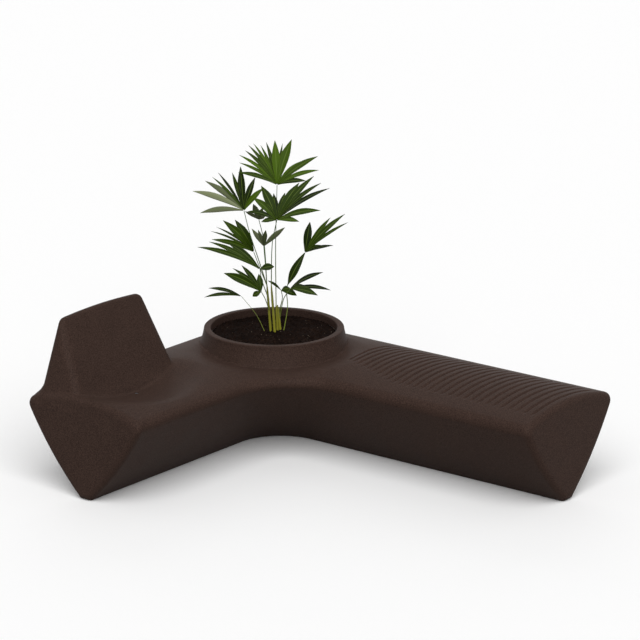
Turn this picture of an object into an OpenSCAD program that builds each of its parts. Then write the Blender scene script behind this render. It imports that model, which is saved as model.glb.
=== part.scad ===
/* [Bench] */
// Height of the seat crown above the ground
seat_h = 440; // [420:2:470]
// Width of each arm across its top edges
arm_w = 608; // [560:4:660]
// Planter axis to the end face of the ribbed arm
ribbed_len = 1500; // [1300:10:1700]
// Planter axis to the end face of the chair arm
chair_len = 1160; // [1130:10:1300]
// Planter axis to the outer top edges of both arms
outer_reach = 380; // [370:2:400]
// Wall of the hollow moulding
wall = 8; // [6:0.5:10]
// Width of the flat strip that the bench stands on
base_w = 44; // [36:2:60]

/* [Section] */
// Radius of the two upper long edges
edge_r = 38; // [30:1:44]
// Height of the upper edge circle's centre below the crown
edge_drop = 78; // [66:1:90]
// Radius beside the flat base strip
foot_r = 10; // [9.5:0.5:14]
// Radius of the bulge of the undercut sides
side_r = 1450; // [1000:50:3000]
// Rounding of the end faces
end_r = 26; // [18:1:30]

/* [Inner corner] */
// Fillet radius of the inner corner at the ground
corner_r_low = 210; // [180:5:240]
// Fillet radius of the inner corner at the top edge
corner_r_high = 290; // [260:5:330]
// Depth of the dish round the collar's front below the crown
dish_depth = 56; // [44:2:60]

/* [Ribbed seat] */
// Number of grooves across the seat
groove_count = 29; // [10:1:30]
// First groove from the planter axis
groove_start = 430; // [420:5:520]
// Pitch of the grooves beside the planter
groove_pitch = 34; // [30:1:36]
// How much wider the last pitch is than the first
groove_growth = 5; // [0:0.5:6]
// Depth of a groove at the crown
groove_depth = 4.5; // [3:0.5:6]
// Width of a groove at the crown
groove_w = 17; // [12:1:22]
// Reach of the grooves from the crown to the outer edge
groove_reach = 225; // [180:5:240]
// Reach of the first groove from the crown to the inner edge
groove_first = 122; // [100:2:160]
// How much further each of the next grooves reaches
groove_step = 11; // [5:1:15]

/* [Planter] */
// Outer radius of the collar
collar_r = 302; // [294:1:310]
// Width of the flat rim
rim_w = 30; // [26:1:36]
// Height of the rim above the seat crown
rim_rise = 52; // [40:1:70]
// How far the collar's wall flares out down to its foot
collar_flare = 30; // [16:2:34]
// Depth of the well below the rim
well_depth = 362; // [340:2:366]
// Width of the ledge that carries the liner
ledge_w = 9; // [8:0.5:10]
// Depth of the ledge below the rim
ledge_drop = 40; // [36:1:44]
// Inside radius of the well at its floor
well_floor_r = 150; // [130:2:156]
// Depth of the soil below the rim
soil_drop = 28; // [20:1:34]

/* [Backrest] */
// Height of the backrest above the seat crown
back_rise = 285; // [240:5:320]
// Width of the backrest at the seat
back_w = 630; // [560:5:640]
// Planter axis to the middle of the backrest
back_mid = 825; // [800:5:860]
// Depth of the backrest at the seat
back_depth = 211; // [200:1:230]
// Planter axis to the front of the backrest at the seat
back_front = 120; // [100:2:130]
// Lean of the front face
back_lean = 24; // [20:1:26]
// Taper of the two ends
back_taper = 9.5; // [8:0.5:14]
// Rounding of the top edge
back_top_r = 16; // [14:1:20]
// Rounding of the four upright corners
back_corner_r = 40; // [30:1:46]
// Rounding of the two upper corners seen from the front
back_end_r = 48; // [36:2:60]
// Depth of the scoop in front of the backrest
trough_depth = 61; // [50:1:64]

/* [Liner] */
// Wall of the lift-out liner
liner_wall = 3.5; // [3:0.5:5]
// Clearance between liner and well
liner_gap = 2.5; // [2:0.5:4]
// Height of the liner's floor above the well's floor
liner_stand = 10; // [8:1:16]
// Thickness of the pebble layer
pebble_h = 55; // [40:5:80]

/* [Fittings] */
// Radius of the filler cap's shank
cap_r = 20; // [17:0.5:22]
// Radius of a drain plug's shank
plug_r = 10; // [9:0.5:12]
// Minor radius of the ground anchor inserts
anchor_r = 5.1; // [4:0.1:5.5]
// Depth of the ground anchor inserts
anchor_depth = 22; // [18:1:24]
// Spacing of the two anchors under the ribbed arm
anchor_pitch_ribbed = 1100; // [900:10:1100]
// Spacing of the two anchors under the chair arm
anchor_pitch_chair = 710; // [600:10:710]
// Outer radius of the planter's drain pipe
pipe_r = 16; // [14:0.5:18]
// Outer radius of the seat's drain tube
tube_r = 7; // [6:0.5:8]
// Radial clearance of the screwed shanks
screw_gap = 0.08; // [0.05:0.01:0.1]
// Thickness of the flat seals
seal_t = 2; // [1.5:0.5:3]

/* [Palm] */
// Height of the palm above the soil
palm_h = 830; // [700:10:900]
// Thickness of a leaf blade
leaf_t = 1.2; // [1:0.1:2]
// Radius of a cane
cane_r = 6; // [5:0.5:8]
// Radius of a leaf stalk
stalk_r = 2.5; // [2:0.5:4]

/* [Hidden] */

bench_color = [0.24, 0.20, 0.19];
rubber_color = [0.1, 0.1, 0.1];
fitting_color = [0.17, 0.14, 0.13];
brass_color = [0.75, 0.6, 0.3];
pipe_color = [0.35, 0.36, 0.38];
liner_color = [0.13, 0.13, 0.13];
pebble_color = [0.55, 0.52, 0.48];
fleece_color = [0.85, 0.85, 0.82];
soil_color = [0.15, 0.1, 0.08];
stem_color = [0.45, 0.50, 0.16];
leaf_color = [0.16, 0.33, 0.10];
round_fn = 64;
bore_fn = 36;
inner_fn = 16;
hole_fn = 28;

// Origin: the planter's axis on the ground. The ribbed arm runs along +X, the chair arm along -Y.
// Section of an arm: crown, upper edges, bulged sides and base strip are tangent arcs.
mid_off = outer_reach - arm_w / 2;
edge_x = arm_w / 2 - edge_r;
edge_z = seat_h - edge_drop;
crown_r = (pow(edge_x, 2) / (edge_drop - edge_r) + edge_r + edge_drop) / 2;
crown_z = seat_h - crown_r;
foot_x = base_w / 2;
side_c = circle_meet([foot_x, foot_r], side_r - foot_r, [edge_x, edge_z], side_r - edge_r);
foot_a = heading(side_c, [foot_x, foot_r]);
edge_a = heading(side_c, [edge_x, edge_z]);
crown_a = heading([0, crown_z], [edge_x, edge_z]);
crown_end_a = 89.7;

function heading(p, q) = atan2(q.y - p.y, q.x - p.x);
function ray(c, r, a) = [c.x + r * cos(a), c.y + r * sin(a)];
function arc(c, r, a0, a1, n, first = 0) = [for (i = [first:n]) ray(c, r, a0 + (a1 - a0) * i / n)];
// Centre that lies ra from point p and rb from point q, on the left of the way from p to q
function circle_meet(p, ra, q, rb) =
    let (d = norm(q - p), u = (q - p) / d,
        s = (d * d + ra * ra - rb * rb) / (2 * d), h = sqrt(ra * ra - s * s))
    p + s * u + h * [-u.y, u.x];
// Right half of the section from the base strip up to the crown, in steps of height
function half_section(inset, fine) = concat(
    arc([foot_x, foot_r], foot_r - inset, -90, foot_a, fine ? 3 : 1),
    arc(side_c, side_r - inset, foot_a, edge_a, fine ? 7 : 4, 1),
    arc([edge_x, edge_z], edge_r - inset, edge_a, crown_a, fine ? 6 : 3, 1),
    arc([0, crown_z], crown_r - inset, crown_a, crown_end_a, fine ? 6 : 3, 1));

// Inner corner: each height of the section gets its own fillet between the two arms.
corner_gain = 400;
function corner_r(side, z) = z < edge_z
    ? corner_r_low + (corner_r_high - corner_r_low) * z / edge_z
    : corner_r_high + corner_gain * max(0, 1 - side / edge_x);
// How far an end face draws back at a place inside the section, to round its edge
side_slope = cos(heading([foot_x, foot_r], [edge_x, edge_z]) - 90);
function end_back(t, z, side, round) =
    let (crown = crown_z + sqrt(pow(crown_r, 2) - t * t) - z,
        depth = max(0, min(z, crown, (side - abs(t)) * side_slope)))
    depth >= round ? 0 : round - sqrt(pow(round, 2) - pow(round - depth, 2));
end_steps = [0, 0.03, 0.25, 0.6, 1.1];
function end_across(side, round, steps) =
    let (half = [for (s = steps) max(side - s * round / side_slope, side * (1.1 - s) / 4)])
    concat([for (t = half) -t], [0], [for (i = [len(half) - 1:-1:0]) half[i]]);
// One level of the body, counter-clockwise: ribbed end, outer corner, chair end, inner corner
function body_ring(p, inset, fine) =
    let (side = p.x, z = p.y, round = end_r - inset, out = mid_off + side, c = side - mid_off,
        r = corner_r(side, z) + inset, a = c + r, n = fine ? 8 : 4, m = fine ? 9 : 5,
        across = end_across(side, round, fine ? end_steps : [0, 0.6]), last = len(across) - 1)
    concat(
        [for (t = across) [ribbed_len - inset - end_back(t, z - inset, side, round), mid_off + t, z]],
        [for (i = [0:n]) [out * cos(90 + 90 * i / n), out * sin(90 + 90 * i / n), z]],
        [for (i = [last:-1:0]) [-mid_off - across[i],
            -(chair_len - inset - end_back(across[i], z - inset, side, round)), z]],
        [for (i = [0:m]) [a - r * cos(90 * i / m), -a + r * sin(90 * i / m), z]]);
module body(inset, fine) loft([for (p = half_section(inset, fine)) body_ring(p, inset, fine)]);
// Stack of counter-clockwise rings with the same number of points, closed at both ends
module loft(rings) {
    n = len(rings[0]);
    m = len(rings);
    faces = concat(
        [for (j = [0:m - 2], i = [0:n - 1]) [j * n + i, (j + 1) * n + i, j * n + (i + 1) % n]],
        [for (j = [0:m - 2], i = [0:n - 1])
            [j * n + (i + 1) % n, (j + 1) * n + i, (j + 1) * n + (i + 1) % n]],
        [[for (i = [0:n - 1]) i], [for (i = [n - 1:-1:0]) (m - 1) * n + i]]);
    polyhedron([for (r = rings, p = r) p], faces);
}

// Planter: flared collar, the dish round its front, and the well with its ledge
rim_z = seat_h + rim_rise;
rim_edge = 5;
well_r = collar_r - rim_w;
ledge_z = rim_z - ledge_drop;
ledge_r = well_r - ledge_w;
well_floor_z = rim_z - well_depth;
// Foot of the collar's solid and of its hollow, both inside the arms
collar_low_z = seat_h - 55;
collar_in_z = seat_h - 80;
dish_r = 1200;
dish_at = 100;
dish_fn = 84;
well_draft = (ledge_r - well_floor_r) / (ledge_z - well_floor_z);
function well_r_at(z) = well_floor_r + well_draft * (z - well_floor_z);
// Outline of the collar's wall, k from 0 at its foot to 1 below the rim's edge
function collar_wall(k, inset) =
    [collar_r - inset + collar_flare * pow(1 - k, 1.3), collar_low_z + (rim_z - rim_edge - collar_low_z) * k];
module collar()
    rotate_extrude($fn = round_fn)
        polygon(concat([[0, collar_low_z]], [for (k = [0:0.25:0.75]) collar_wall(k, 0)],
            arc([collar_r - rim_edge, rim_z - rim_edge], rim_edge, 0, 90, 3), [[0, rim_z]]));
module collar_hollow()
    rotate_extrude($fn = round_fn)
        polygon(concat([[0, collar_in_z], [collar_wall(0.25, wall).x, collar_in_z]],
            [for (k = [0.25:0.25:0.75]) collar_wall(k, wall)],
            [[collar_r - wall, rim_z - wall], [0, rim_z - wall]]));
module dish(grow, fn)
    translate([dish_at, -dish_at, seat_h - dish_depth + dish_r]) sphere(r = dish_r + grow, $fn = fn);
module well()
    rotate_extrude($fn = round_fn)
        polygon(concat(
            [[0, well_floor_z], [well_floor_r, well_floor_z], [ledge_r, ledge_z], [well_r, ledge_z]],
            arc([well_r + rim_edge, rim_z - rim_edge], rim_edge, 180, 90, 3),
            [[well_r + rim_edge, rim_z + 20], [0, rim_z + 20]]));
module well_wall()
    rotate_extrude($fn = 2 * inner_fn)
        polygon([[0, well_floor_z - wall], [well_floor_r + wall, well_floor_z - wall],
            [ledge_r + wall, ledge_z - wall], [well_r + wall, ledge_z - wall],
            [well_r + wall, rim_z], [0, rim_z]]);

// Backrest: a leaning wedge with a round top edge; both faces are tangent to the top's circle.
back_z = seat_h - 10;
back_top_c = seat_h + back_rise - back_top_r;
back_c = [-back_front - tan(back_lean) * (back_top_c - back_z) - back_top_r / cos(back_lean), back_top_c];
back_run = [back_c.x + back_front + back_depth, back_top_c - back_z];
back_rear_lean = atan2(back_run.x, back_run.y) - asin(back_top_r / norm(back_run));
back_foot_z = seat_h - 37;
back_low_z = seat_h - 77;
back_end_z = seat_h + back_rise - back_end_r;
back_top_steps = [back_lean, 45, 66, 82];
// Reach and height of the concave sweep at the backrest's foot
back_toe_front = 5;
back_toe_rear = 25;
back_toe_end = 12;
back_toe_far = 30;
back_sweep = 54;
back_arch = 12;
function back_round(z) = back_top_r - sqrt(pow(back_top_r, 2) - pow(max(0, z - back_c.y), 2));
function back_front_x(z) = z < back_c.y + back_top_r * sin(back_lean)
    ? -back_front - tan(back_lean) * (z - back_z)
    : back_c.x + back_top_r - back_round(z);
function back_rear_x(z) = z < back_c.y + back_top_r * sin(back_rear_lean)
    ? -back_front - back_depth + tan(back_rear_lean) * (z - back_z)
    : back_c.x - back_top_r + back_round(z);
function back_half(z) = back_w / 2 - tan(back_taper) * (z - back_z)
    - (back_end_r - sqrt(pow(back_end_r, 2) - pow(max(0, z - back_end_z), 2)));
function toe(reach, z, inset) =
    let (rise = min(1, max(0, (z - back_foot_z) / back_sweep)))
    inset > 0 ? inset : -reach * pow(1 - rise, 2);
// Rounded outline of the backrest at one height, flared where it meets the seat
function back_ring(z, inset) =
    let (front = back_front_x(z) - toe(back_toe_front, z, inset),
        rear = back_rear_x(z) + toe(back_toe_rear, z, inset),
        low = -back_mid - back_half(z) + toe(back_toe_end, z, inset),
        high = -back_mid + back_half(z) - toe(back_toe_far, z, inset),
        grow = min(1, max(0, (z - back_z) / (back_top_c - back_z))),
        r = min(back_corner_r - inset / 2, (front - rear) / 2 - 0.5),
        long = [for (k = [0.2:0.2:0.8]) low + r + (high - low - 2 * r) * k],
        outline = concat(arc([front - r, high - r], r, 0, 90, 4), arc([rear + r, high - r], r, 90, 180, 4),
            [for (i = [3:-1:0]) [rear, long[i]]],
            arc([rear + r, low + r], r, 180, 270, 4), arc([front - r, low + r], r, 270, 360, 4),
            [for (y = long) [front, y]]))
    [for (p = outline) [p.x, p.y, z + back_arch * grow * (1 - pow((p.y + back_mid) / back_half(z), 2))]];
module back_block(inset)
    loft(concat(
        [back_ring(back_low_z, inset)],
        [for (k = inset > 0 ? [1] : [0:0.2:1]) back_ring(back_foot_z + back_sweep * k, inset)],
        [back_ring((back_foot_z + back_sweep + back_end_z) / 2, inset)],
        [for (k = [0, 0.4, 0.66]) back_ring(back_end_z + back_end_r * k, inset)],
        inset > 0 ? [] : [for (a = back_top_steps) back_ring(back_top_c + back_top_r * sin(a), 0)]));

// Scoop in front of the backrest, with its drain hole at the lowest place
trough_at = [-78, -815];
trough_r = 850;
trough_fn = 80;
trough_z = seat_h - trough_depth;
module trough(grow, fn)
    translate([trough_at.x, trough_at.y, trough_z + trough_r]) sphere(r = trough_r + grow, $fn = fn);

// Grooves across the ribbed arm: their floors bend less than the crown, so they fade out at the ends.
groove_bend = 1 / (1 / crown_r - 2 * groove_depth / pow(groove_reach, 2));
groove_foot = 2;
groove_top = 5;
groove_z = seat_h - 12 * groove_top;
function groove_x(i) = groove_start + groove_pitch * i + groove_growth * i * i / (2 * (groove_count - 1));
module grooves()
    difference() {
        for (i = [0:groove_count - 1]) if (groove_x(i) < ribbed_len - end_r - groove_w)
            hull() for (y = [groove_reach, -min(groove_first + groove_step * i, groove_reach)])
                translate([groove_x(i), mid_off + y, groove_z])
                    cylinder(r1 = groove_foot, r2 = groove_w / 2 + groove_top / 8,
                        h = seat_h + groove_top - groove_z, $fn = 14);
        translate([0, mid_off, seat_h - groove_depth - groove_bend])
            rotate([0, 90, 0]) cylinder(r = groove_bend, h = ribbed_len, $fn = 150);
    }

// Places of the fittings: local Z points out of the bench
fill_rise = 120;
fill_z = seat_h + fill_rise;
fill_sink = 8;
neck_r = cap_r + 9;
neck_flange_r = neck_r + 6;
neck_len = 34;
cap_head_r = cap_r + 11;
cap_shank = 22;
plug_z = 48;
plug_in = 36;
plug_inset = 110;
bush_r = plug_r + 5;
bush_flange_r = bush_r + 4;
bush_len = 24;
plug_head_r = plug_r + 6;
plug_shank = 18;
pocket_r = bush_flange_r + 4;
flange_t = 3;
head_t = 6;
// Reach of the pockets' cutters out of the bench
pocket_out = 100;
sink_out = 40;
anchor_insert_r = anchor_r + 4;
anchor_mid_ribbed = 800;
anchor_mid_chair = 655;
pipe_at = [-30, 30];
pipe_wall = 2.5;
pipe_flange_r = pipe_r + 12;
pipe_low = 5;
tube_wall = 2;
ring_w = 2.5;
channel = [24, 4];
module fill_place()
    translate([back_rear_x(fill_z), -back_mid, fill_z]) rotate([0, back_rear_lean - 90, 0]) children();
module plug_ribbed_place()
    translate([ribbed_len - plug_inset, mid_off + plug_in, plug_z]) rotate([-90, 0, 0]) children();
module plug_chair_place()
    translate([-mid_off - plug_in, -(chair_len - plug_inset), plug_z]) rotate([0, -90, 0]) children();
module plug_places() {
    plug_ribbed_place() children();
    plug_chair_place() children();
}
module anchor_places() {
    for (s = [-1, 1]) {
        translate([anchor_mid_ribbed + s * anchor_pitch_ribbed / 2, mid_off, 0]) children();
        translate([-mid_off, -anchor_mid_chair + s * anchor_pitch_chair / 2, 0]) children();
    }
}
module pipe_place() translate([pipe_at.x, pipe_at.y, 0]) children();
module tube_place() translate([trough_at.x, trough_at.y, 0]) children();
// A tube or a disc with a hole, from height z0 to z1
module ring(outer, inner, z0, z1)
    difference() {
        translate([0, 0, z0]) cylinder(r = outer, h = z1 - z0, $fn = bore_fn);
        translate([0, 0, z0 - 1]) cylinder(r = inner, h = z1 - z0 + 2, $fn = bore_fn);
    }
module rod(r, z0, z1, fn = bore_fn) translate([0, 0, z0]) cylinder(r = r, h = z1 - z0, $fn = fn);

// Hollow inside of the moulding, kept clear of every hole and pocket by a wall
module cavity()
    difference() {
        union() {
            difference() {
                body(wall, false);
                trough(wall, 3 * inner_fn);
                dish(wall, 3 * inner_fn);
            }
            back_block(wall);
            collar_hollow();
        }
        well_wall();
        fill_place() {
            rod(neck_r + wall, -neck_len, 0, inner_fn);
            rod(neck_flange_r + 2 + wall, -fill_sink - wall, sink_out, inner_fn);
        }
        plug_places() {
            rod(bush_r + wall, -bush_len, 0, inner_fn);
            rod(pocket_r + wall, -wall, pocket_out, inner_fn);
        }
        anchor_places() rod(anchor_insert_r + wall, -1, anchor_depth + wall, inner_fn);
        pipe_place() rod(pipe_r + ring_w + wall, -1, 20, inner_fn);
        tube_place() rod(tube_r + ring_w + wall, -1, 20, inner_fn);
    }
// A hole whose flats touch the round piece that it holds
module bore(r, z0, z1) rod(r / cos(180 / hole_fn), z0, z1, hole_fn);
module holes() {
    fill_place() {
        bore(neck_r, -neck_len - 30, 1);
        bore(neck_flange_r + 2, -fill_sink, sink_out);
    }
    plug_places() {
        bore(bush_r, -bush_len - 3, 1);
        bore(pocket_r, 0, pocket_out);
    }
    anchor_places() bore(anchor_insert_r, -1, anchor_depth);
    pipe_place() {
        bore(pipe_r + ring_w, -1, well_floor_z - wall - 1);
        bore(pipe_r, well_floor_z - wall - 2, well_floor_z + 1);
    }
    rotate([0, 0, 45]) translate([-channel.x / 2, norm(pipe_at), -1])
        cube([channel.x, outer_reach, 1 + channel.y]);
    tube_place() bore(tube_r + ring_w, -1, seat_h);
}
module bench_shell() color(bench_color)
    difference() {
        union() {
            difference() {
                body(0, true);
                grooves();
                trough(0, trough_fn);
                dish(0, dish_fn);
            }
            collar();
            back_block(0);
        }
        cavity();
        well();
        holes();
    }

// Filler on the rear of the backrest: threaded neck, seal and screw cap
neck_z = -fill_sink + flange_t;
cap_z = neck_z + seal_t;
module fill_neck() color(fitting_color)
    fill_place() {
        ring(neck_r, cap_r + screw_gap, -neck_len + 2, -fill_sink + 1);
        ring(neck_flange_r, cap_r + screw_gap, -fill_sink, neck_z);
    }
module fill_cap_seal() color(rubber_color)
    fill_place() ring(cap_head_r - 1, cap_r + 1, neck_z, cap_z);
module fill_cap() color(fitting_color)
    fill_place() difference() {
        union() {
            rod(cap_r, cap_z - cap_shank, cap_z + 1);
            rod(cap_head_r, cap_z, cap_z + head_t);
        }
        translate([-cap_r, -2.5, cap_z + head_t - 3]) cube([2 * cap_r, 5, 4]);
    }

// Drains under the outer sides: bushes, seals and slotted plugs
bush_z = flange_t;
plug_head_z = bush_z + seal_t;
module drain_bush() {
    ring(bush_r, plug_r + screw_gap, -bush_len + 1, 1);
    ring(bush_flange_r, plug_r + screw_gap, 0, bush_z);
}
module drain_bushes() color(fitting_color) plug_places() drain_bush();
module drain_seal() ring(plug_head_r - 1, plug_r + 0.5, bush_z, plug_head_z);
module drain_plug()
    difference() {
        union() {
            rod(plug_r, plug_head_z - plug_shank, plug_head_z + 1);
            rod(plug_head_r, plug_head_z, plug_head_z + head_t);
        }
        translate([-plug_r, -1.5, plug_head_z + head_t - 3]) cube([2 * plug_r, 3, 4]);
    }
module drain_seal_ribbed() color(rubber_color) plug_ribbed_place() drain_seal();
module drain_plug_ribbed() color(fitting_color) plug_ribbed_place() drain_plug();
module drain_seal_chair() color(rubber_color) plug_chair_place() drain_seal();
module drain_plug_chair() color(fitting_color) plug_chair_place() drain_plug();
module anchor_inserts() color(brass_color) anchor_places() ring(anchor_insert_r, anchor_r, 0, anchor_depth);

// Drain pipe from the well's floor to the channel under the base
gasket_z = well_floor_z + seal_t;
module well_drain_pipe() color(pipe_color)
    pipe_place() {
        ring(pipe_r, pipe_r - pipe_wall, pipe_low, gasket_z + 1);
        ring(pipe_flange_r, pipe_r - pipe_wall, gasket_z, gasket_z + flange_t);
    }
module well_drain_gasket() color(rubber_color)
    pipe_place() ring(pipe_flange_r, pipe_r, well_floor_z, gasket_z);
module well_drain_grommet() color(rubber_color)
    pipe_place() ring(pipe_r + ring_w, pipe_r, channel.y + 1, 20);

// Drain tube from the trough to the ground
tube_top = trough_z - 3;
module seat_drain_tube() color(pipe_color)
    tube_place() ring(tube_r, tube_r - tube_wall, pipe_low, tube_top);
module seat_drain_rings() color(rubber_color)
    tube_place() {
        ring(tube_r + ring_w, tube_r, trough_z - wall, tube_top);
        ring(tube_r + ring_w, tube_r, 8, 20);
    }

// Lift-out liner on its strip, with what it holds
strip_t = 3;
strip_w = ledge_w - 2;
lift_gap = 0.3;
liner_flange_z = ledge_z + strip_t + lift_gap;
liner_flange_t = 4;
liner_top_z = liner_flange_z + liner_flange_t;
liner_low_z = well_floor_z + liner_stand;
liner_floor_z = liner_low_z + liner_wall;
pebble_top_z = liner_floor_z + pebble_h;
fleece_t = 2;
fleece_z = pebble_top_z + fleece_t;
soil_z = rim_z - soil_drop;
soil_mound = 8;
soil_gap = 3;
strainer_hole = 28;
strainer_r = strainer_hole + 8;
strainer_h = 16;
function liner_in(z) = well_r_at(z) - liner_gap - liner_wall;
module liner_seat_strip() color(rubber_color)
    ring(well_r - 1, well_r - 1 - strip_w, ledge_z, ledge_z + strip_t, $fn = round_fn);
module planter_liner() color(liner_color)
    difference() {
        rotate_extrude($fn = round_fn)
            polygon([[0, liner_low_z], [well_r_at(liner_low_z) - liner_gap, liner_low_z],
                [well_r_at(liner_flange_z) - liner_gap, liner_flange_z], [well_r - 1, liner_flange_z],
                [well_r - 1, liner_top_z], [liner_in(liner_top_z), liner_top_z],
                [liner_in(liner_floor_z), liner_floor_z], [0, liner_floor_z]]);
        rod(strainer_hole, liner_low_z - 1, liner_floor_z + 1);
        for (a = [0:60:300]) rotate([0, 0, a]) translate([well_floor_r * 0.6, 0, 0])
            rod(5, liner_low_z - 1, liner_floor_z + 1);
    }
module liner_strainer() color(fitting_color)
    translate([0, 0, liner_floor_z]) difference() {
        union() {
            cylinder(r = strainer_r, h = 2, $fn = bore_fn);
            cylinder(r = strainer_hole, h = strainer_h, $fn = bore_fn);
        }
        translate([0, 0, -1]) cylinder(r = strainer_hole - 2, h = strainer_h - 1, $fn = bore_fn);
        for (a = [0:45:315]) rotate([0, 0, a]) translate([strainer_hole - 5, -2, 4]) cube([10, 4, 7]);
    }
module drainage_pebbles() color(pebble_color)
    difference() {
        rotate_extrude($fn = round_fn)
            polygon([[0, liner_floor_z], [liner_in(liner_floor_z), liner_floor_z],
                [liner_in(pebble_top_z), pebble_top_z], [0, pebble_top_z]]);
        rod(strainer_r, liner_floor_z - 1, liner_floor_z + strainer_h);
    }
module filter_fleece() color(fleece_color)
    translate([0, 0, pebble_top_z]) cylinder(r = liner_in(pebble_top_z), h = fleece_t, $fn = round_fn);
module potting_soil() color(soil_color)
    rotate_extrude($fn = round_fn)
        polygon([[0, fleece_z], [liner_in(fleece_z), fleece_z], [liner_in(liner_top_z), liner_top_z],
            [well_r - soil_gap, liner_top_z], [well_r - soil_gap, soil_z - 2],
            [well_r - soil_gap - 5, soil_z], [well_r * 0.55, soil_z + soil_mound * 0.6],
            [well_r * 0.25, soil_z + soil_mound], [0, soil_z + soil_mound]]);

// Palm: places are [right, back, up] from the middle of the soil, seen from the inner corner's side.
// They are drawn for one height of the palm and scale with it.
palm_turn = 38;
palm_drawn_h = 830;
palm_k = palm_h / palm_drawn_h;
root_z = -20;
hub_r = 14;
// Each frond: hub place, [lean, turn], then [angle from upright, length, width] of each leaflet
fronds = [
    [[15, 0, 656], [30, 0], [[-72, 175, 20], [-59, 190, 14], [-51, 210, 16], [-42, 205, 18],
        [-35, 215, 16], [-29, 210, 14], [-22, 190, 14], [-14, 195, 18], [-3, 197, 34], [7, 185, 14],
        [17, 210, 38], [44, 145, 18], [54, 215, 26], [70, 190, 20], [82, 125, 22]]],
    [[-126, -20, 548], [20, -15], [[-97, 195, 24], [-74, 245, 26], [-58, 217, 26], [-49, 205, 12],
        [-40, 203, 12], [-23, 173, 20], [-10, 190, 32], [14, 150, 26], [37, 127, 24]]],
    [[15, -95, 526], [30, 0], [[-97, 67, 20], [-73, 130, 22], [-46, 142, 30], [-24, 165, 38],
        [-7, 118, 26], [16, 126, 22], [30, 190, 32], [39, 250, 26], [49, 250, 20], [58, 265, 20],
        [77, 190, 26], [94, 95, 22]]],
    [[-42, -40, 396], [-25, 0], [[-27, 110, 20], [-14, 95, 16], [6, 90, 22], [41, 140, 24]]],
    [[-86, 20, 354], [15, 10], [[-71, 190, 22], [-62, 208, 10], [-54, 195, 10], [-42, 190, 34],
        [-28, 160, 36]]],
    [[-58, -70, 302], [30, 0], [[-70, 285, 22], [-61, 250, 20], [-50, 183, 26], [79, 62, 30]]],
    [[-53, -80, 207], [20, 0], [[-120, 43, 24], [-64, 178, 36], [-51, 158, 16], [-37, 140, 22],
        [-8, 76, 26]]],
    [[-141, 30, 154], [30, 0], [[-92, 160, 16], [-76, 146, 16]]],
    [[134, 20, 352], [15, 0], [[-152, 158, 34], [9, 133, 34], [36, 185, 20], [46, 238, 22], [55, 225, 14],
        [65, 75, 20], [76, 125, 14]]],
    [[70, -50, 210], [35, 0], [[62, 160, 22], [80, 70, 18], [92, 174, 18], [104, 122, 28]]],
    [[32, -20, 193], [45, 0], [[-50, 77, 12], [72, 40, 24], [110, 71, 28]]],
    [[-64, 50, 490], [-15, 0], [[-56, 71, 16], [-17, 80, 26], [16, 61, 20], [60, 31, 18]]]];
// Canes and leaf stalks: radius, then the places that they pass
stems = [
    [cane_r, [[-12, 0, root_z], [-30, 0, 216]]],
    [cane_r, [[5, -20, root_z], [-11, -20, 221]]],
    [cane_r, [[16, 10, root_z], [9, 10, 121]]],
    [cane_r, [[29, 20, root_z], [15, 20, 118]]],
    [stalk_r, [[9, 10, 116], [8, 5, 386], fronds[0][0]]],
    [stalk_r, [[-30, 0, 211], [-60, -5, 311], [-103, -15, 451], fronds[1][0]]],
    [stalk_r, [[-11, -20, 216], [-5, -60, 416], fronds[2][0]]],
    [stalk_r, [[-30, 0, 211], [-36, -30, 316], fronds[3][0]]],
    [stalk_r, [[-30, 0, 211], [-62, 10, 291], fronds[4][0]]],
    [stalk_r, [[-25, 0, 156], [-52, -40, 251], fronds[5][0]]],
    [stalk_r, [[-20, 0, 96], [-35, -50, 161], fronds[6][0]]],
    [stalk_r, [[-30, 0, root_z], [-76, 10, 76], fronds[7][0]]],
    [stalk_r, [[37, 10, root_z], [58, 15, 106], [58, 20, 206], fronds[8][0]]],
    [stalk_r, [[24, 20, 56], [42, -20, 156], fronds[9][0]]],
    [stalk_r, [[20, 20, 86], [36, 5, 151], fronds[10][0]]],
    [stalk_r, [[-30, 0, 211], [-42, 25, 396], fronds[11][0]]]];
leaf_steps = [[0.3, 0.8], [0.6, 1], [0.88, 0.6], [1, 0.12]];
module palm() translate([0, 0, soil_z]) rotate([0, 0, palm_turn]) children();
module palm_stems() color(stem_color)
    palm() for (s = stems, i = [0:len(s[1]) - 2])
        hull() for (p = [s[1][i], s[1][i + 1]]) translate(palm_k * p) sphere(r = s[0], $fn = 8);

// Angle of the gap beside leaflet i, shared with its neighbour
function leaf_gap(leaves, i) =
    let (last = len(leaves) - 1, spread = 12)
    i == 0 ? leaves[0][0] - spread
    : i > last ? leaves[last][0] + spread
    : (leaves[i - 1][0] + leaves[i][0]) / 2;
function leaf_point(a, along, side, y) = [along * sin(a) + side * cos(a), y, along * cos(a) - side * sin(a)];
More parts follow.
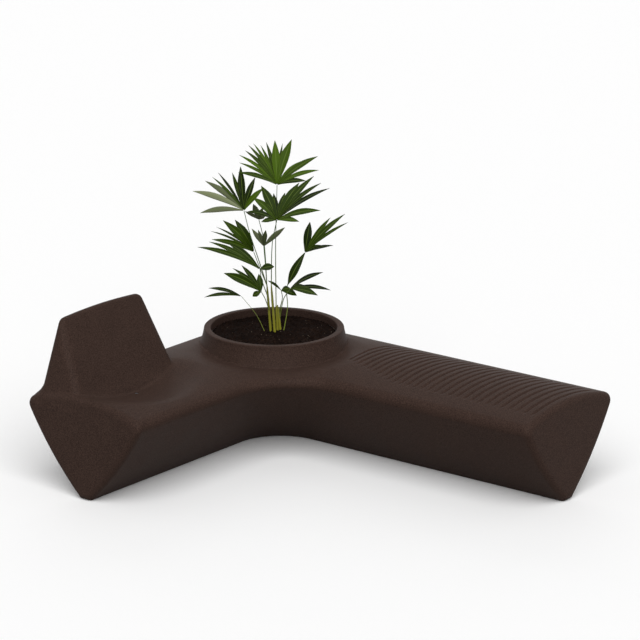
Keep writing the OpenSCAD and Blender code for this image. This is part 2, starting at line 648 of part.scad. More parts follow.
// One face of a frond: hub centre, hub edge, then the two edges of every leaflet
function frond_layer(leaves, y) =
    let (n = len(leaves))
    concat([[0, y, 0]],
        [for (i = [0:n]) leaf_point(leaf_gap(leaves, i), palm_k * hub_r, 0, y)],
        [for (i = [0:n - 1], s = leaf_steps, e = [-1, 1])
            let (a = leaves[i][0], along = palm_k * leaves[i][1] * s[0],
                room = along * tan(min(leaf_gap(leaves, i + 1) - a, a - leaf_gap(leaves, i), 40)) * 0.92)
            leaf_point(a, along, e * min(palm_k * leaves[i][2] / 2 * s[1], room), y)]);
function quad(a, b, c, d) = [[a, b, c], [a, c, d]];
module frond(k) {
    leaves = fronds[k][2];
    n = len(leaves);
    steps = len(leaf_steps);
    half = 2 + n + 2 * steps * n;
    // Index of an edge point of leaflet i: step 0 lies on the hub
    function edge(i, s, e) = s == 0 ? 1 + i + e : 2 + n + 2 * (steps * i + s - 1) + e;
    faces = concat(
        [for (i = [0:n - 1]) [0, edge(i, 0, 0), edge(i, 0, 1)]],
        [for (i = [0:n - 1]) [half, half + edge(i, 0, 1), half + edge(i, 0, 0)]],
        [for (i = [0:n - 1], s = [0:steps - 1], f = quad(edge(i, s, 0), edge(i, s + 1, 0), edge(i, s + 1, 1),
            edge(i, s, 1))) f],
        [for (i = [0:n - 1], s = [0:steps - 1], f = quad(half + edge(i, s, 0), half + edge(i, s, 1),
            half + edge(i, s + 1, 1), half + edge(i, s + 1, 0))) f],
        [for (i = [0:n - 1], s = [0:steps - 1], f = quad(edge(i, s, 0), half + edge(i, s, 0),
            half + edge(i, s + 1, 0), edge(i, s + 1, 0))) f],
        [for (i = [0:n - 1], s = [0:steps - 1], f = quad(edge(i, s + 1, 1), half + edge(i, s + 1, 1),
            half + edge(i, s, 1), edge(i, s, 1))) f],
        [for (i = [0:n - 1], f = quad(edge(i, steps, 0), half + edge(i, steps, 0), half + edge(i, steps, 1),
            edge(i, steps, 1))) f],
        quad(0, half, half + 1, 1), quad(n + 1, half + n + 1, half, 0));
    color(leaf_color) palm() translate(palm_k * fronds[k][0]) rotate([0, 0, fronds[k][1][1]])
        rotate([-fronds[k][1][0], 0, 0])
            polyhedron(concat(frond_layer(leaves, -leaf_t / 2), frond_layer(leaves, leaf_t / 2)), faces);
}

bench_shell();
fill_neck();
fill_cap_seal();
fill_cap();
drain_bushes();
drain_seal_ribbed();
drain_plug_ribbed();
drain_seal_chair();
drain_plug_chair();
anchor_inserts();
well_drain_pipe();
well_drain_gasket();
well_drain_grommet();
seat_drain_tube();
seat_drain_rings();
liner_seat_strip();
planter_liner();
liner_strainer();
drainage_pebbles();
filter_fleece();
potting_soil();
palm_stems();
for (k = [0:len(fronds) - 1]) frond(k);
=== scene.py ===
"""Dresses the packed corner bench with planter: moulded skin, soil, palm, finishes and studio."""

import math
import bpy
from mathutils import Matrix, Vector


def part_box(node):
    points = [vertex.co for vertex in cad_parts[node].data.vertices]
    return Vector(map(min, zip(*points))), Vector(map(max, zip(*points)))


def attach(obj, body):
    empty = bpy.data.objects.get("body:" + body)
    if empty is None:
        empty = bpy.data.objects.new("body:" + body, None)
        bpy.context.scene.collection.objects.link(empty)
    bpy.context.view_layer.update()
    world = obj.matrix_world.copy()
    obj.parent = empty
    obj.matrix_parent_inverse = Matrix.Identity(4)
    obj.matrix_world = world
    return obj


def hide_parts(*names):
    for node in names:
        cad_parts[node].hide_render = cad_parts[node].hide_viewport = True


bl_info = {
    "name": "Corner bench with planter",
    "version": (1, 0, 0),
    "blender": (4, 5, 0),
    "location": "3D View > Sidebar > Bench",
    "description": "Builds the moulded skin, soil, palm, finishes and studio of a corner bench",
    "category": "Object",
}

from types import SimpleNamespace

import bmesh
import bpy
import numpy as np
from bpy.props import (
    FloatProperty,
    FloatVectorProperty,
    IntProperty,
    PointerProperty,
    StringProperty,
)
from mathutils import Euler, Matrix, Vector

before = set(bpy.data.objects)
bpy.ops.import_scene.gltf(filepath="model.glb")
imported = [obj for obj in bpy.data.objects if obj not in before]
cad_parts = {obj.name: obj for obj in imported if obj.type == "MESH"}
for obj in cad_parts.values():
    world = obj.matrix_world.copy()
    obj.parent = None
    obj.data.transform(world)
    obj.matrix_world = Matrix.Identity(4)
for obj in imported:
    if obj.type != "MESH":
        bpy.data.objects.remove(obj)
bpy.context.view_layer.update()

# Kinds of node that are used most: a sum, and what a mesh holds for each point or face
MATH, STORED = "ShaderNodeMath", "GeometryNodeInputNamedAttribute"
# One whole turn in radians
FULL_TURN = 6.283
# Radii where the bench's forms meet, in metres
SCOOP_EDGE, COLLAR_JOIN, BACK_JOIN, BACK_TOP_JOIN = 0.014, 0.003, 0.008, 0.010
# How far a form runs on past the place where it is cut off
COLLAR_SPARE, BACK_SPARE = 0.012, 0.004
# How fast the collar's flare grows towards its foot
FLARE_POWER = 1.3
# Settling: how far apart a slope is read, the longest move of a step and the least steepness
PROBE, LONGEST_MOVE, LEAST_STEEP = 2e-4, 0.004, 0.2
# How far a cutter stands out above the rim and below the base
ABOVE, BELOW = 0.04, 0.001


# Colours and nodes


def linear(code):
    """Linear colour of an sRGB hex value."""
    parts = [int(code[i : i + 2], 16) / 255 for i in (1, 3, 5)]
    return [p / 12.92 if p <= 0.04045 else ((p + 0.055) / 1.055) ** 2.4 for p in parts] + [1.0]


def add(tree, kind, inputs=None, stops=(), **settings):
    """Adds one node. An input takes a socket, a value or a hex colour, and stops are a ramp's
    (place, hex colour)."""
    node = tree.nodes.new(kind)
    for key, value in settings.items():
        setattr(node, key, value)
    for key, value in (inputs or {}).items():
        socket = node.inputs[key]
        if isinstance(value, bpy.types.NodeSocket):
            tree.links.new(value, socket)
        else:
            coded = socket.type == "RGBA" and isinstance(value, str)
            socket.default_value = linear(value) if coded else value
    if stops:
        elements = node.color_ramp.elements
        while len(elements) < len(stops):
            elements.new(0.5)
        for element, (place, code) in zip(elements, stops):
            element.position = place
            element.color = linear(code)
    return node


def work_out(tree, kind, known, steps):
    """Adds a table of nodes that each do one operation. A step is the operation with its inputs:
    numbers, or the names of what is known by then."""
    known = dict(known)
    for name, (operation, *inputs) in steps.items():
        values = {i: known[v] if isinstance(v, str) else v for i, v in enumerate(inputs)}
        known[name] = add(tree, kind, values, operation=operation).outputs[0]
    return known


def every(mm):
    """Scale of a pattern whose grains are about so many millimetres wide."""
    return 1000.0 / mm


def new_material(name):
    """Empty material, and the Object coordinates that its patterns read."""
    material = bpy.data.materials.new(name)
    material.use_nodes = True
    tree = material.node_tree
    tree.nodes.clear()
    return material, tree, add(tree, "ShaderNodeTexCoord").outputs["Object"]


def coat(material, colour, height, strength, depth, **shader):
    """Ends a material with its colour, a bump of so many metres and the shader's other inputs."""
    tree = material.node_tree
    bump = {"Strength": strength, "Distance": depth, "Height": height}
    inputs = {name.replace("_", " "): value for name, value in shader.items()}
    inputs["Base Color"] = colour
    inputs["Normal"] = add(tree, "ShaderNodeBump", bump).outputs["Normal"]
    surface = add(tree, "ShaderNodeBsdfPrincipled", inputs).outputs["BSDF"]
    add(tree, "ShaderNodeOutputMaterial", {"Surface": surface})
    return material


def grained(name, grain, detail, stops, strength, depth, distortion=0.0, **shader):
    """Material whose colour and bump follow one noise, with grains of so many millimetres along
    X, Y and Z."""
    material, tree, place = new_material(name)
    scale = [every(mm) for mm in grain]
    stretch = add(tree, "ShaderNodeMapping", {"Vector": place, "Scale": scale}).outputs[0]
    pattern = {"Vector": stretch, "Scale": 1.0, "Detail": detail, "Distortion": distortion}
    noise = add(tree, "ShaderNodeTexNoise", pattern).outputs["Fac"]
    colour = add(tree, "ShaderNodeValToRGB", {"Fac": noise}, stops).outputs["Color"]
    return coat(material, colour, noise, strength, depth, **shader)


# Finishes


def moulded_polyethylene(dark, light):
    """Rotomoulded polyethylene in dark brown: powder that melts on the hot mould keeps a speckle
    and a slight orange peel, so the eye sees a matt, faintly grainy skin."""
    material, tree, place = new_material("rotomoulded_polyethylene")
    # The real grain of 0.5 mm is too fine to show, so its clumps of 3.8 mm are drawn
    fine = {"Vector": place, "Scale": every(3.8), "Detail": 2.0}
    wide = {"Vector": place, "Scale": every(110), "Detail": 3.0}
    dimples = {"Vector": place, "Scale": every(2.4), "Detail": 1.0}
    grain, cloud, peel = (
        add(tree, "ShaderNodeTexNoise", inputs).outputs["Fac"] for inputs in (fine, wide, dimples)
    )
    mixed = add(tree, MATH, {0: cloud, 1: 0.12, 2: grain}, operation="MULTIPLY_ADD").outputs[0]
    spread = {"Value": mixed, "From Min": 0.24, "From Max": 0.9}
    share = add(tree, "ShaderNodeMapRange", spread).outputs["Result"]
    colour = add(tree, "ShaderNodeMix", {0: share, 6: dark, 7: light}, data_type="RGBA").outputs[2]
    dull = {"Value": cloud, "To Min": 0.46, "To Max": 0.6}
    rough = add(tree, "ShaderNodeMapRange", dull).outputs["Result"]
    return coat(
        material, colour, peel, 0.25, 0.0006, Roughness=rough, IOR=1.5, Specular_IOR_Level=0.03
    )


def moulded_polypropylene():
    """Injection moulded polypropylene for caps, bushes and strainer: smoother and a little
    glossier than the skin, with the faint grain of a sparked tool."""
    stops = [(0.35, "#211b19"), (0.7, "#2b2421")]
    grain = (1.1, 1.1, 1.1)
    return grained("moulded_polypropylene", grain, 2, stops, 0.2, 0.0002, Roughness=0.4, IOR=1.49)


def moulded_rubber():
    """Moulded EPDM rubber: dull black with a dusty bloom."""
    stops = [(0.4, "#141414"), (0.75, "#262524")]
    bloom = (8, 8, 8)
    return grained("moulded_epdm_rubber", bloom, 4, stops, 0.15, 0.0002, Roughness=0.75, IOR=1.52)


def turned_brass():
    """Turned brass inserts: yellow metal with the fine rings of the lathe tool."""
    material, tree, place = new_material("turned_brass")
    # The real rings of 0.1 mm are too fine to show, so they are drawn 2 mm apart. At scale 1 the
    # bands are pi / 10 apart
    pitch = {"Vector": place, "Scale": every(2) * math.pi / 10, "Distortion": 0.4}
    rings = add(tree, "ShaderNodeTexWave", pitch, bands_direction="Z").outputs["Fac"]
    stops = [(0.0, "#b08b45"), (1.0, "#c9a45a")]
    colour = add(tree, "ShaderNodeValToRGB", {"Fac": rings}, stops).outputs["Color"]
    return coat(material, colour, rings, 0.2, 0.0001, Metallic=1.0, Roughness=0.32)


def extruded_pipe():
    """Extruded grey PVC: smooth, with faint lines along the pipe from the die."""
    stops = [(0.3, "#56595c"), (0.7, "#63666a")]
    lines = (1.4, 1.4, 250)
    return grained("extruded_pvc", lines, 1, stops, 0.1, 0.0001, Roughness=0.38, IOR=1.53)


def formed_liner():
    """Vacuum formed liner of recycled black polyethylene: satin, uneven where the hot sheet
    stretched, with a few pale flecks."""
    material, tree, place = new_material("formed_recycled_polyethylene")
    flecks = add(tree, "ShaderNodeTexVoronoi", {"Vector": place, "Scale": every(6)})
    stretched = {"Vector": place, "Scale": every(45), "Detail": 4.0}
    haze = add(tree, "ShaderNodeTexNoise", stretched).outputs["Fac"]
    stops = [(0.35, "#151515"), (0.7, "#222221")]
    base = add(tree, "ShaderNodeValToRGB", {"Fac": haze}, stops).outputs["Color"]
    near = {"Value": flecks.outputs["Distance"], "From Min": 0.1, "From Max": 0.04}
    spots = add(tree, "ShaderNodeMapRange", near).outputs["Result"]
    mixed = add(tree, "ShaderNodeMix", {0: spots, 6: base, 7: "#4a4845"}, data_type="RGBA")
    return coat(material, mixed.outputs[2], haze, 0.3, 0.001, Roughness=0.45, IOR=1.5)


def river_pebbles():
    """Washed river pebbles, 16 to 32 mm: rounded stones of grey and tan packed together."""
    material, tree, place = new_material("washed_river_pebbles")
    stones = add(tree, "ShaderNodeTexVoronoi", {"Vector": place, "Scale": every(24)})
    stops = [(0.1, "#6f6a62"), (0.45, "#9a9184"), (0.8, "#b9b1a4")]
    colour = add(tree, "ShaderNodeValToRGB", {"Fac": stones.outputs["Color"]}, stops)
    height = stones.outputs["Distance"]
    return coat(material, colour.outputs["Color"], height, 1.0, -0.008, Roughness=0.55)


def needled_fleece():
    """Needle punched polyester fleece: off-white felt with tangled fibres."""
    stops = [(0.35, "#c9c6bd"), (0.65, "#e4e2da")]
    fibres = (3.3, 0.55, 3.3)
    return grained("needled_polyester_fleece", fibres, 5, stops, 0.5, 0.0006, 2.0, Roughness=0.95)


def peat_soil():
    """Peat potting soil, screened and moist: near black brown with coarse crumbs, matt all
    over."""
    material, tree, place = new_material("screened_peat_soil")
    coarse = {"Vector": place, "Scale": every(12), "Detail": 8.0, "Roughness": 0.65}
    wide = {"Vector": place, "Scale": every(70), "Detail": 2.0}
    crumb, patch = (
        add(tree, "ShaderNodeTexNoise", inputs).outputs["Fac"] for inputs in (coarse, wide)
    )
    mixed = add(tree, MATH, {0: patch, 1: 0.5, 2: crumb}, operation="MULTIPLY_ADD").outputs[0]
    stops = [(0.55, "#080504"), (0.78, "#150d0a"), (0.98, "#261912")]
    colour = add(tree, "ShaderNodeValToRGB", {"Fac": mixed}, stops).outputs["Color"]
    return coat(material, colour, crumb, 1.0, 0.004, Roughness=0.95, Specular_IOR_Level=0.03)


def loose_crumb(name, low, high):
    """Crumbs that lie loose on the soil: dull, each a little uneven in tone."""
    stops, grain = [(0.35, low), (0.65, high)], (16, 16, 16)
    dull = {"Roughness": 0.9, "Specular_IOR_Level": 0.03}
    return grained(name, grain, 2, stops, 0.6, 0.001, **dull)


def leaf_skin(name, deep, bright, rib, roughness):
    """Waxy palm leaf blade: parallel veins run along each leaflet, ribs are lighter than the blade,
    and each leaflet differs a little in tone. The tone also holds painted shade, darker on the
    lower fronds. The wax gives a soft sheen."""
    material, tree, _ = new_material(name)
    across = add(tree, "ShaderNodeUVMap", uv_map="blade").outputs["UV"]
    # 26 veins across a leaflet
    veins = add(tree, "ShaderNodeMapping", {"Vector": across, "Scale": (26.0, 1.2, 1.0)})
    pattern = {"Vector": veins.outputs[0], "Scale": 1.0, "Detail": 3.0}
    known = {
        "vein": add(tree, "ShaderNodeTexNoise", pattern).outputs["Fac"],
        "tone": add(tree, "ShaderNodeAttribute", attribute_name="tone").outputs["Fac"],
        "across": add(tree, "ShaderNodeSeparateXYZ", {"Vector": across}).outputs["X"],
    }
    steps = {
        "shade": ("MULTIPLY_ADD", "vein", 0.45, "tone"),
        "off": ("SUBTRACT", "across", 0.5),
        "side": ("ABSOLUTE", "off"),
    }
    known = work_out(tree, MATH, known, steps)
    # The tone holds chance and the painted shade of the lower fronds; it leads from the darker
    # colour to the lighter one
    blade = add(tree, "ShaderNodeValToRGB", {"Fac": known["shade"]}, [(0.3, deep), (1.0, bright)])
    # Ribs: the middle and both edges of the blade
    for place, start, stop in (("middle", 0.05, 0.02), ("edge", 0.45, 0.49)):
        band = {"Value": known["side"], "From Min": start, "From Max": stop}
        known[place] = add(tree, "ShaderNodeMapRange", band).outputs["Result"]
    ribs = {"either": ("MAXIMUM", "middle", "edge"), "weight": ("MULTIPLY", "either", 0.5)}
    weight = work_out(tree, MATH, known, ribs)["weight"]
    mixed = {0: weight, 6: blade.outputs["Color"], 7: rib}
    colour = add(tree, "ShaderNodeMix", mixed, data_type="RGBA").outputs[2]
    wax = {"Roughness": roughness, "IOR": 1.45, "Specular_IOR_Level": 0.06}
    return coat(material, colour, known["vein"], 0.25, 0.0006, **wax)


def cane_skin(name, low, high):
    """Young palm cane: smooth green skin that yellows towards the soil, with fibres along it."""
    material, tree, place = new_material(name)
    along = (every(2), every(2), every(80))
    stretch = add(tree, "ShaderNodeMapping", {"Vector": place, "Scale": along}).outputs[0]
    pattern = {"Vector": stretch, "Scale": 1.0, "Detail": 2.0}
    fibre = add(tree, "ShaderNodeTexNoise", pattern).outputs["Fac"]
    height = add(tree, "ShaderNodeSeparateXYZ", {"Vector": place}).outputs["Z"]
    # From the soil up to among the fronds, in metres above the ground
    grown = {"Value": height, "From Min": 0.46, "From Max": 0.82, "To Max": 0.75}
    rise = add(tree, "ShaderNodeMapRange", grown).outputs["Result"]
    mixed = add(tree, MATH, {0: fibre, 1: 0.25, 2: rise}, operation="MULTIPLY_ADD").outputs[0]
    colour = add(tree, "ShaderNodeValToRGB", {"Fac": mixed}, [(0.1, low), (0.8, high)])
    smooth = {"Roughness": 0.4, "IOR": 1.45, "Specular_IOR_Level": 0.35}
    return coat(material, colour.outputs["Color"], fibre, 0.3, 0.0005, **smooth)


# Shapes


def rounded_cut(a, b, r):
    """Common part of two shapes given by distances, with radius r where they meet."""
    return np.minimum(np.maximum(a, b), -r) + np.hypot(np.maximum(a + r, 0), np.maximum(b + r, 0))


def rounded_join(a, b, r):
    """Both shapes together, with radius r where they meet."""
    return -rounded_cut(-a, -b, r)


def turn_of(p, q):
    """Turn from one place to another, in radians."""
    return math.atan2(q[1] - p[1], q[0] - p[0])


def bench_facts(sizes):
    """Sizes of the bench with what follows from them, in metres. The bulged side is an arc that
    touches the circles of the foot and of the upper edge."""
    b = SimpleNamespace(**{k: getattr(sizes, k) for k in BenchSizes.__annotations__})
    b.mid = b.outer_reach - b.arm_width / 2
    b.edge_x = b.arm_width / 2 - b.edge_radius
    b.edge_z = b.seat_height - b.edge_drop
    b.crown_r = (b.edge_x**2 / (b.edge_drop - b.edge_radius) + b.edge_radius + b.edge_drop) / 2
    b.crown_z = b.seat_height - b.crown_r
    foot = (b.base_width / 2, b.foot_radius)
    edge = (b.edge_x, b.edge_z)
    ra, rb = b.side_radius - b.foot_radius, b.side_radius - b.edge_radius
    d = math.dist(foot, edge)
    u = ((edge[0] - foot[0]) / d, (edge[1] - foot[1]) / d)
    s = (d * d + ra * ra - rb * rb) / (2 * d)
    h = math.sqrt(ra * ra - s * s)
    b.side_c = (foot[0] + s * u[0] - h * u[1], foot[1] + s * u[1] + h * u[0])
    b.foot = foot
    b.edge = edge
    b.foot_turn = turn_of(b.side_c, foot)
    b.edge_turn = turn_of(b.side_c, edge)
    b.crown_turn = turn_of((0, b.crown_z), edge)
    b.rim_z = b.seat_height + b.rim_rise
    b.well_r = b.collar_radius - b.rim_width
    b.ledge_z = b.rim_z - b.ledge_drop
    b.floor_z = b.rim_z - b.well_depth
    b.back_z = b.seat_height - b.back_sink
    b.top_z = b.seat_height + b.back_rise - b.back_top_radius
    lean = math.radians(b.back_lean)
    b.top_x = -b.back_front - math.tan(lean) * (b.top_z - b.back_z)
    b.top_x -= b.back_top_radius / math.cos(lean)
    run = (b.top_x + b.back_front + b.back_depth, b.top_z - b.back_z)
    b.rear_lean = math.atan2(*run) - math.asin(b.back_top_radius / math.hypot(*run))
    b.lean = lean
    b.taper = math.radians(b.back_taper)
    b.toe_z = b.seat_height - b.back_foot
    b.trough_z = b.seat_height - b.trough_depth
    return b


def arm_section(t, z, b):
    """Distance from the outline of an arm's section, t across from its middle."""
    crown = np.hypot(t, z - b.crown_z) - b.crown_r
    side = np.hypot(t - b.side_c[0], z - b.side_c[1]) - b.side_radius
    at_edge = np.arctan2(z - b.edge[1], t - b.edge[0])
    at_foot = np.arctan2(z - b.foot[1], t - b.foot[0])
    d = np.maximum(np.maximum(crown, side), -z)
    d = np.where(
        (at_edge > b.edge_turn) & (at_edge < b.crown_turn),
        np.hypot(t - b.edge[0], z - b.edge[1]) - b.edge_radius,
        d,
    )
    return np.where(
        (at_foot > -math.pi / 2) & (at_foot < b.foot_turn),
        np.hypot(t - b.foot[0], z - b.foot[1]) - b.foot_radius,
        d,
    )


def fillet_across(t1, t2, r):
    """Distance across both arms at once, with a fillet of radius r between them."""
    gap = np.abs(t1 - t2)
    root = np.sqrt(np.maximum(2 * r * r - gap * gap, 0))
    return np.where(gap < r, (t1 + t2 - 2 * r + root) / 2, np.minimum(t1, t2))


def across_arms(x, y, z, b):
    """How far a place lies from the arms' middle lines, round the outer and the inner corner."""
    corner = np.where(x > 0, y - b.mid, np.hypot(x, y) - b.mid)
    outer = np.where(y > 0, corner, -x - b.mid + 0 * y)
    t1, t2 = b.mid - y + 0 * x, x + b.mid + 0 * y
    s = np.clip(np.minimum(t1, t2), 0, b.edge_x)
    # The fillet's radius depends on the place that it gives, so it is found step by step
    for _ in range(10):
        r = b.corner_high + b.corner_gain * (1 - s / b.edge_x)
        s = np.clip(fillet_across(t1, t2, r), 0, b.edge_x)
    top = fillet_across(t1, t2, b.corner_high + b.corner_gain * (1 - s / b.edge_x))
    low = b.corner_low + (b.corner_high - b.corner_low) * np.clip(z / b.edge_z, 0, 1)
    inner = np.where(z < b.edge_z, fillet_across(t1, t2, low), top)
    return np.maximum(np.maximum(outer, inner), 0)


def planter_field(x, y, z, b):
    """Collar whose wall flares out towards the seat."""
    r = np.hypot(x, y)
    top = b.rim_z - b.rim_edge
    foot = b.seat_height - b.collar_foot
    down = np.clip((top - z) / (top - foot), 0, 1)
    wall = b.collar_radius + b.collar_flare * down**FLARE_POWER
    slope = FLARE_POWER * b.collar_flare / (top - foot) * down ** (FLARE_POWER - 1)
    ends = np.maximum(z - b.rim_z - COLLAR_SPARE, foot - z)
    return np.maximum((r - wall) / np.hypot(1, slope), ends)


def ball(x, y, z, place, radius):
    """Distance from a ball."""
    return np.sqrt((x - place[0]) ** 2 + (y - place[1]) ** 2 + (z - place[2]) ** 2) - radius


def backrest_field(x, y, z, b):
    """Leaning wedge with a round top edge and a concave sweep at its foot."""
    off = y + b.back_mid
    low_z = b.seat_height - b.back_low - z
    half = b.back_width / 2 - math.tan(b.taper) * (z - b.back_z)
    grow = np.clip((z - b.back_z) / (b.top_z - b.back_z), 0, 1)
    z = z - b.back_arch * grow * (1 - np.minimum(np.abs(off / half), 1) ** 2)
    rest = 1 - np.clip((z - b.toe_z) / b.toe_rise, 0, 1)
    front = -b.back_front - math.tan(b.lean) * (z - b.back_z) + b.toe_front * rest**2
    rear = -b.back_front - b.back_depth + math.tan(b.rear_lean) * (z - b.back_z)
    rear = rear - b.toe_rear * rest**2
    low = half + b.toe_near * rest**2
    high = half + b.toe_far * rest**2
    slope = lambda reach, lean: np.hypot(1, math.tan(lean) + 2 * reach * rest / b.toe_rise)
    d_front = (x - front) / slope(b.toe_front, b.lean)
    d_rear = (rear - x) / slope(b.toe_rear, b.rear_lean)
    turn = np.arctan2(z - b.top_z, x - b.top_x)
    wedge = np.where(
        (turn > b.lean) & (turn < math.pi - b.rear_lean),
        np.hypot(x - b.top_x, z - b.top_z) - b.back_top_radius,
        np.maximum(d_front, d_rear),
    )
    ends = np.maximum(
        (-off - low) / slope(b.toe_near, b.taper),
        (off - high) / slope(b.toe_far, b.taper),
    )
    upright = rounded_cut(wedge, ends, b.back_corner)
    upper = rounded_cut(ends, z - b.seat_height - b.back_rise - BACK_SPARE, b.back_end)
    return np.maximum(rounded_cut(upright, upper, BACK_TOP_JOIN), low_z)


def bench_field(x, y, z, b):
    """Signed distance of the whole moulding without its grooves and holes; inside is negative."""
    arms = arm_section(across_arms(x, y, z, b), z, b)
    ends = np.maximum(x - b.ribbed_length, -y - b.chair_length)
    body = rounded_cut(arms, ends, b.end_radius)
    scoop = (b.trough_x, b.trough_y, b.trough_z + b.trough_radius)
    dish = (b.dish_place, -b.dish_place, b.seat_height - b.dish_depth + b.dish_radius)
    body = rounded_cut(body, -ball(x, y, z, scoop, b.trough_radius), SCOOP_EDGE)
    body = rounded_cut(body, -ball(x, y, z, dish, b.dish_radius), SCOOP_EDGE)
    body = rounded_join(body, planter_field(x, y, z, b), COLLAR_JOIN)
    return rounded_join(body, backrest_field(x, y, z, b), BACK_JOIN)


def surface_net(values, lines):
    """Points and quads on the zero surface of values that are given where three sets of lines
    cross."""
    inside = values < 0
    size = [n - 1 for n in values.shape]
    part = lambda offset: tuple(slice(o, o + n) for o, n in zip(offset, size))
    corners = [(i, j, k) for i in (0, 1) for j in (0, 1) for k in (0, 1)]
    count = sum(inside[part(c)].astype(np.int8) for c in corners)
    crossed = (count > 0) & (count < 8)
    cells = np.argwhere(crossed)
    index = np.full(crossed.shape, -1)
    index[crossed] = np.arange(len(cells))
    total, hits = np.zeros((len(cells), 3)), np.zeros(len(cells))
    for axis in range(3):
        for c in (c for c in corners if c[axis] == 0):
            start = cells + c
            stop = start.copy()
            stop[:, axis] += 1
            v0, v1 = values[tuple(start.T)], values[tuple(stop.T)]
            cut = (v0 < 0) != (v1 < 0)
            share = v0[cut] / (v0[cut] - v1[cut])
            p0 = np.stack([lines[k][start[cut, k]] for k in range(3)], 1)
            p1 = np.stack([lines[k][stop[cut, k]] for k in range(3)], 1)
            total[cut] += p0 + (p1 - p0) * share[:, None]
            hits[cut] += 1
    quads = []
    for axis in range(3):
        b, c = (axis + 1) % 3, (axis + 2) % 3
        low = np.take(inside, range(size[axis]), axis)
        high = np.take(inside, range(1, size[axis] + 1), axis)
        edge = np.argwhere(low != high)
        within = (edge[:, b] > 0) & (edge[:, c] > 0)
        within = within & (edge[:, b] < size[b]) & (edge[:, c] < size[c])
        edge = edge[within]
        outward = low[tuple(edge.T)]
        around = []
        for back_b, back_c in ((1, 1), (0, 1), (0, 0), (1, 0)):
            cell = edge.copy()
            cell[:, b] -= back_b
            cell[:, c] -= back_c
            around.append(index[tuple(cell.T)])
        around = np.stack(around, 1)
        around[~outward] = around[~outward][:, ::-1]
        quads.append(around)
    return total / hits[:, None], np.concatenate(quads)


def settle(points, field, steps):
    """Moves points onto the zero surface of a field."""
    at = lambda move: field(*(points + PROBE * move).T)
    for _ in range(steps):
        value = field(*points.T)
        slope = np.stack([(at(e) - at(-e)) / (2 * PROBE) for e in np.eye(3)], 1)
        steep = np.maximum((slope**2).sum(1), LEAST_STEEP)
        points = points - np.clip(value / steep, -LONGEST_MOVE, LONGEST_MOVE)[:, None] * slope
    return points


def relax(points, faces, share):
    """Moves each point towards the middle of its neighbours."""
    ends = np.concatenate([faces[:, [i, (i + 1) % 4]] for i in range(4)])
    ends = np.concatenate([ends, ends[:, ::-1]])
    number = np.bincount(ends[:, 0], minlength=len(points))
    total = [np.bincount(ends[:, 0], points[ends[:, 1], k], len(points)) for k in range(3)]
    mean = np.stack(total, 1) / number[:, None]
    return points + share * (mean - points)


def new_piece(name, points, faces):
    """Object of a plain mesh, in the scene."""
    mesh = bpy.data.meshes.new(name)
    mesh.from_pydata([tuple(p) for p in points], [], [tuple(f) for f in faces])
    mesh.validate()
    mesh.update()
    piece = bpy.data.objects.new(name, mesh)
    bpy.context.scene.collection.objects.link(piece)
    return piece


def lathe(profile, segments, place=None):
    """Points and faces of a closed turned solid; the profile runs from the axis back to it."""
    ring = profile[1:-1]
    points = [(0, 0, profile[0][1]), (0, 0, profile[-1][1])]
    for k in range(segments):
        a = 2 * math.pi * k / segments
        points += [(r * math.cos(a), r * math.sin(a), z) for r, z in ring]
    n = len(ring)
    at = lambda k, i: 2 + (k % segments) * n + i
    faces = []
    for k in range(segments):
        faces.append((0, at(k + 1, 0), at(k, 0)))
        faces += [(at(k, i), at(k + 1, i), at(k + 1, i + 1), at(k, i + 1)) for i in range(n - 1)]
        faces.append((1, at(k, n - 1), at(k + 1, n - 1)))
    if place is not None:
        points = [tuple(place @ Vector(p)) for p in points]
    return points, faces


def gather(shapes):
    """One list of points and faces from several."""
    points, faces = [], []
    for p, f in shapes:
        faces += [tuple(i + len(points) for i in face) for face in f]
        points += p
    return points, faces


def arc(c, r, a0, a1, n):
    """Places on a circle from one angle to another, in degrees."""
    turns = [math.radians(a0 + (a1 - a0) * i / n) for i in range(n + 1)]
    return [(c[0] + r * math.cos(a), c[1] + r * math.sin(a)) for a in turns]


def cut_away(piece, cutter):
    """Takes the cutter out of the piece and removes the cutter."""
    modifier = piece.modifiers.new("cut", "BOOLEAN")
    modifier.operation = "DIFFERENCE"
    modifier.solver = "MANIFOLD"
    modifier.object = cutter
    settle_modifiers(piece)
    bpy.data.objects.remove(cutter)


def settle_modifiers(piece):
    """Turns the evaluated piece into its own plain mesh."""
    graph = bpy.context.evaluated_depsgraph_get()
    mesh = bpy.data.meshes.new_from_object(piece.evaluated_get(graph))
    piece.modifiers.clear()
    old = piece.data
    piece.data = mesh
    if old.users == 0:
        bpy.data.meshes.remove(old)
    mesh.name = piece.name


def run_nodes(piece, tree, values):
    """Runs a Geometry Nodes tree on a piece, with its inputs given by name."""
    modifier = piece.modifiers.new(tree.name, "NODES")
    modifier.node_group = tree
    sockets = {s.name: s.identifier for s in tree.interface.items_tree if s.in_out == "INPUT"}
    for name, value in values.items():
        modifier[sockets[name]] = value
    settle_modifiers(piece)


def dress(piece, body, slot, *nodes):
    """Gives a piece the body that it moves with and hides the CAD nodes that it stands for. The
    slot is not used.
    """
    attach(piece, body)
    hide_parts(*nodes)


# Settings


def size(name, text, default):
    return FloatProperty(name=name, description=text, default=default, unit="LENGTH", precision=4)


def degrees(name, text, default):
    return FloatProperty(name=name, description=text, default=default)


def amount(name, text, default):
    return FloatProperty(name=name, description=text, default=default, min=0.0)


def tint(name, text, code):
    return StringProperty(name=name, description=text + ", as an sRGB hex value", default=code)


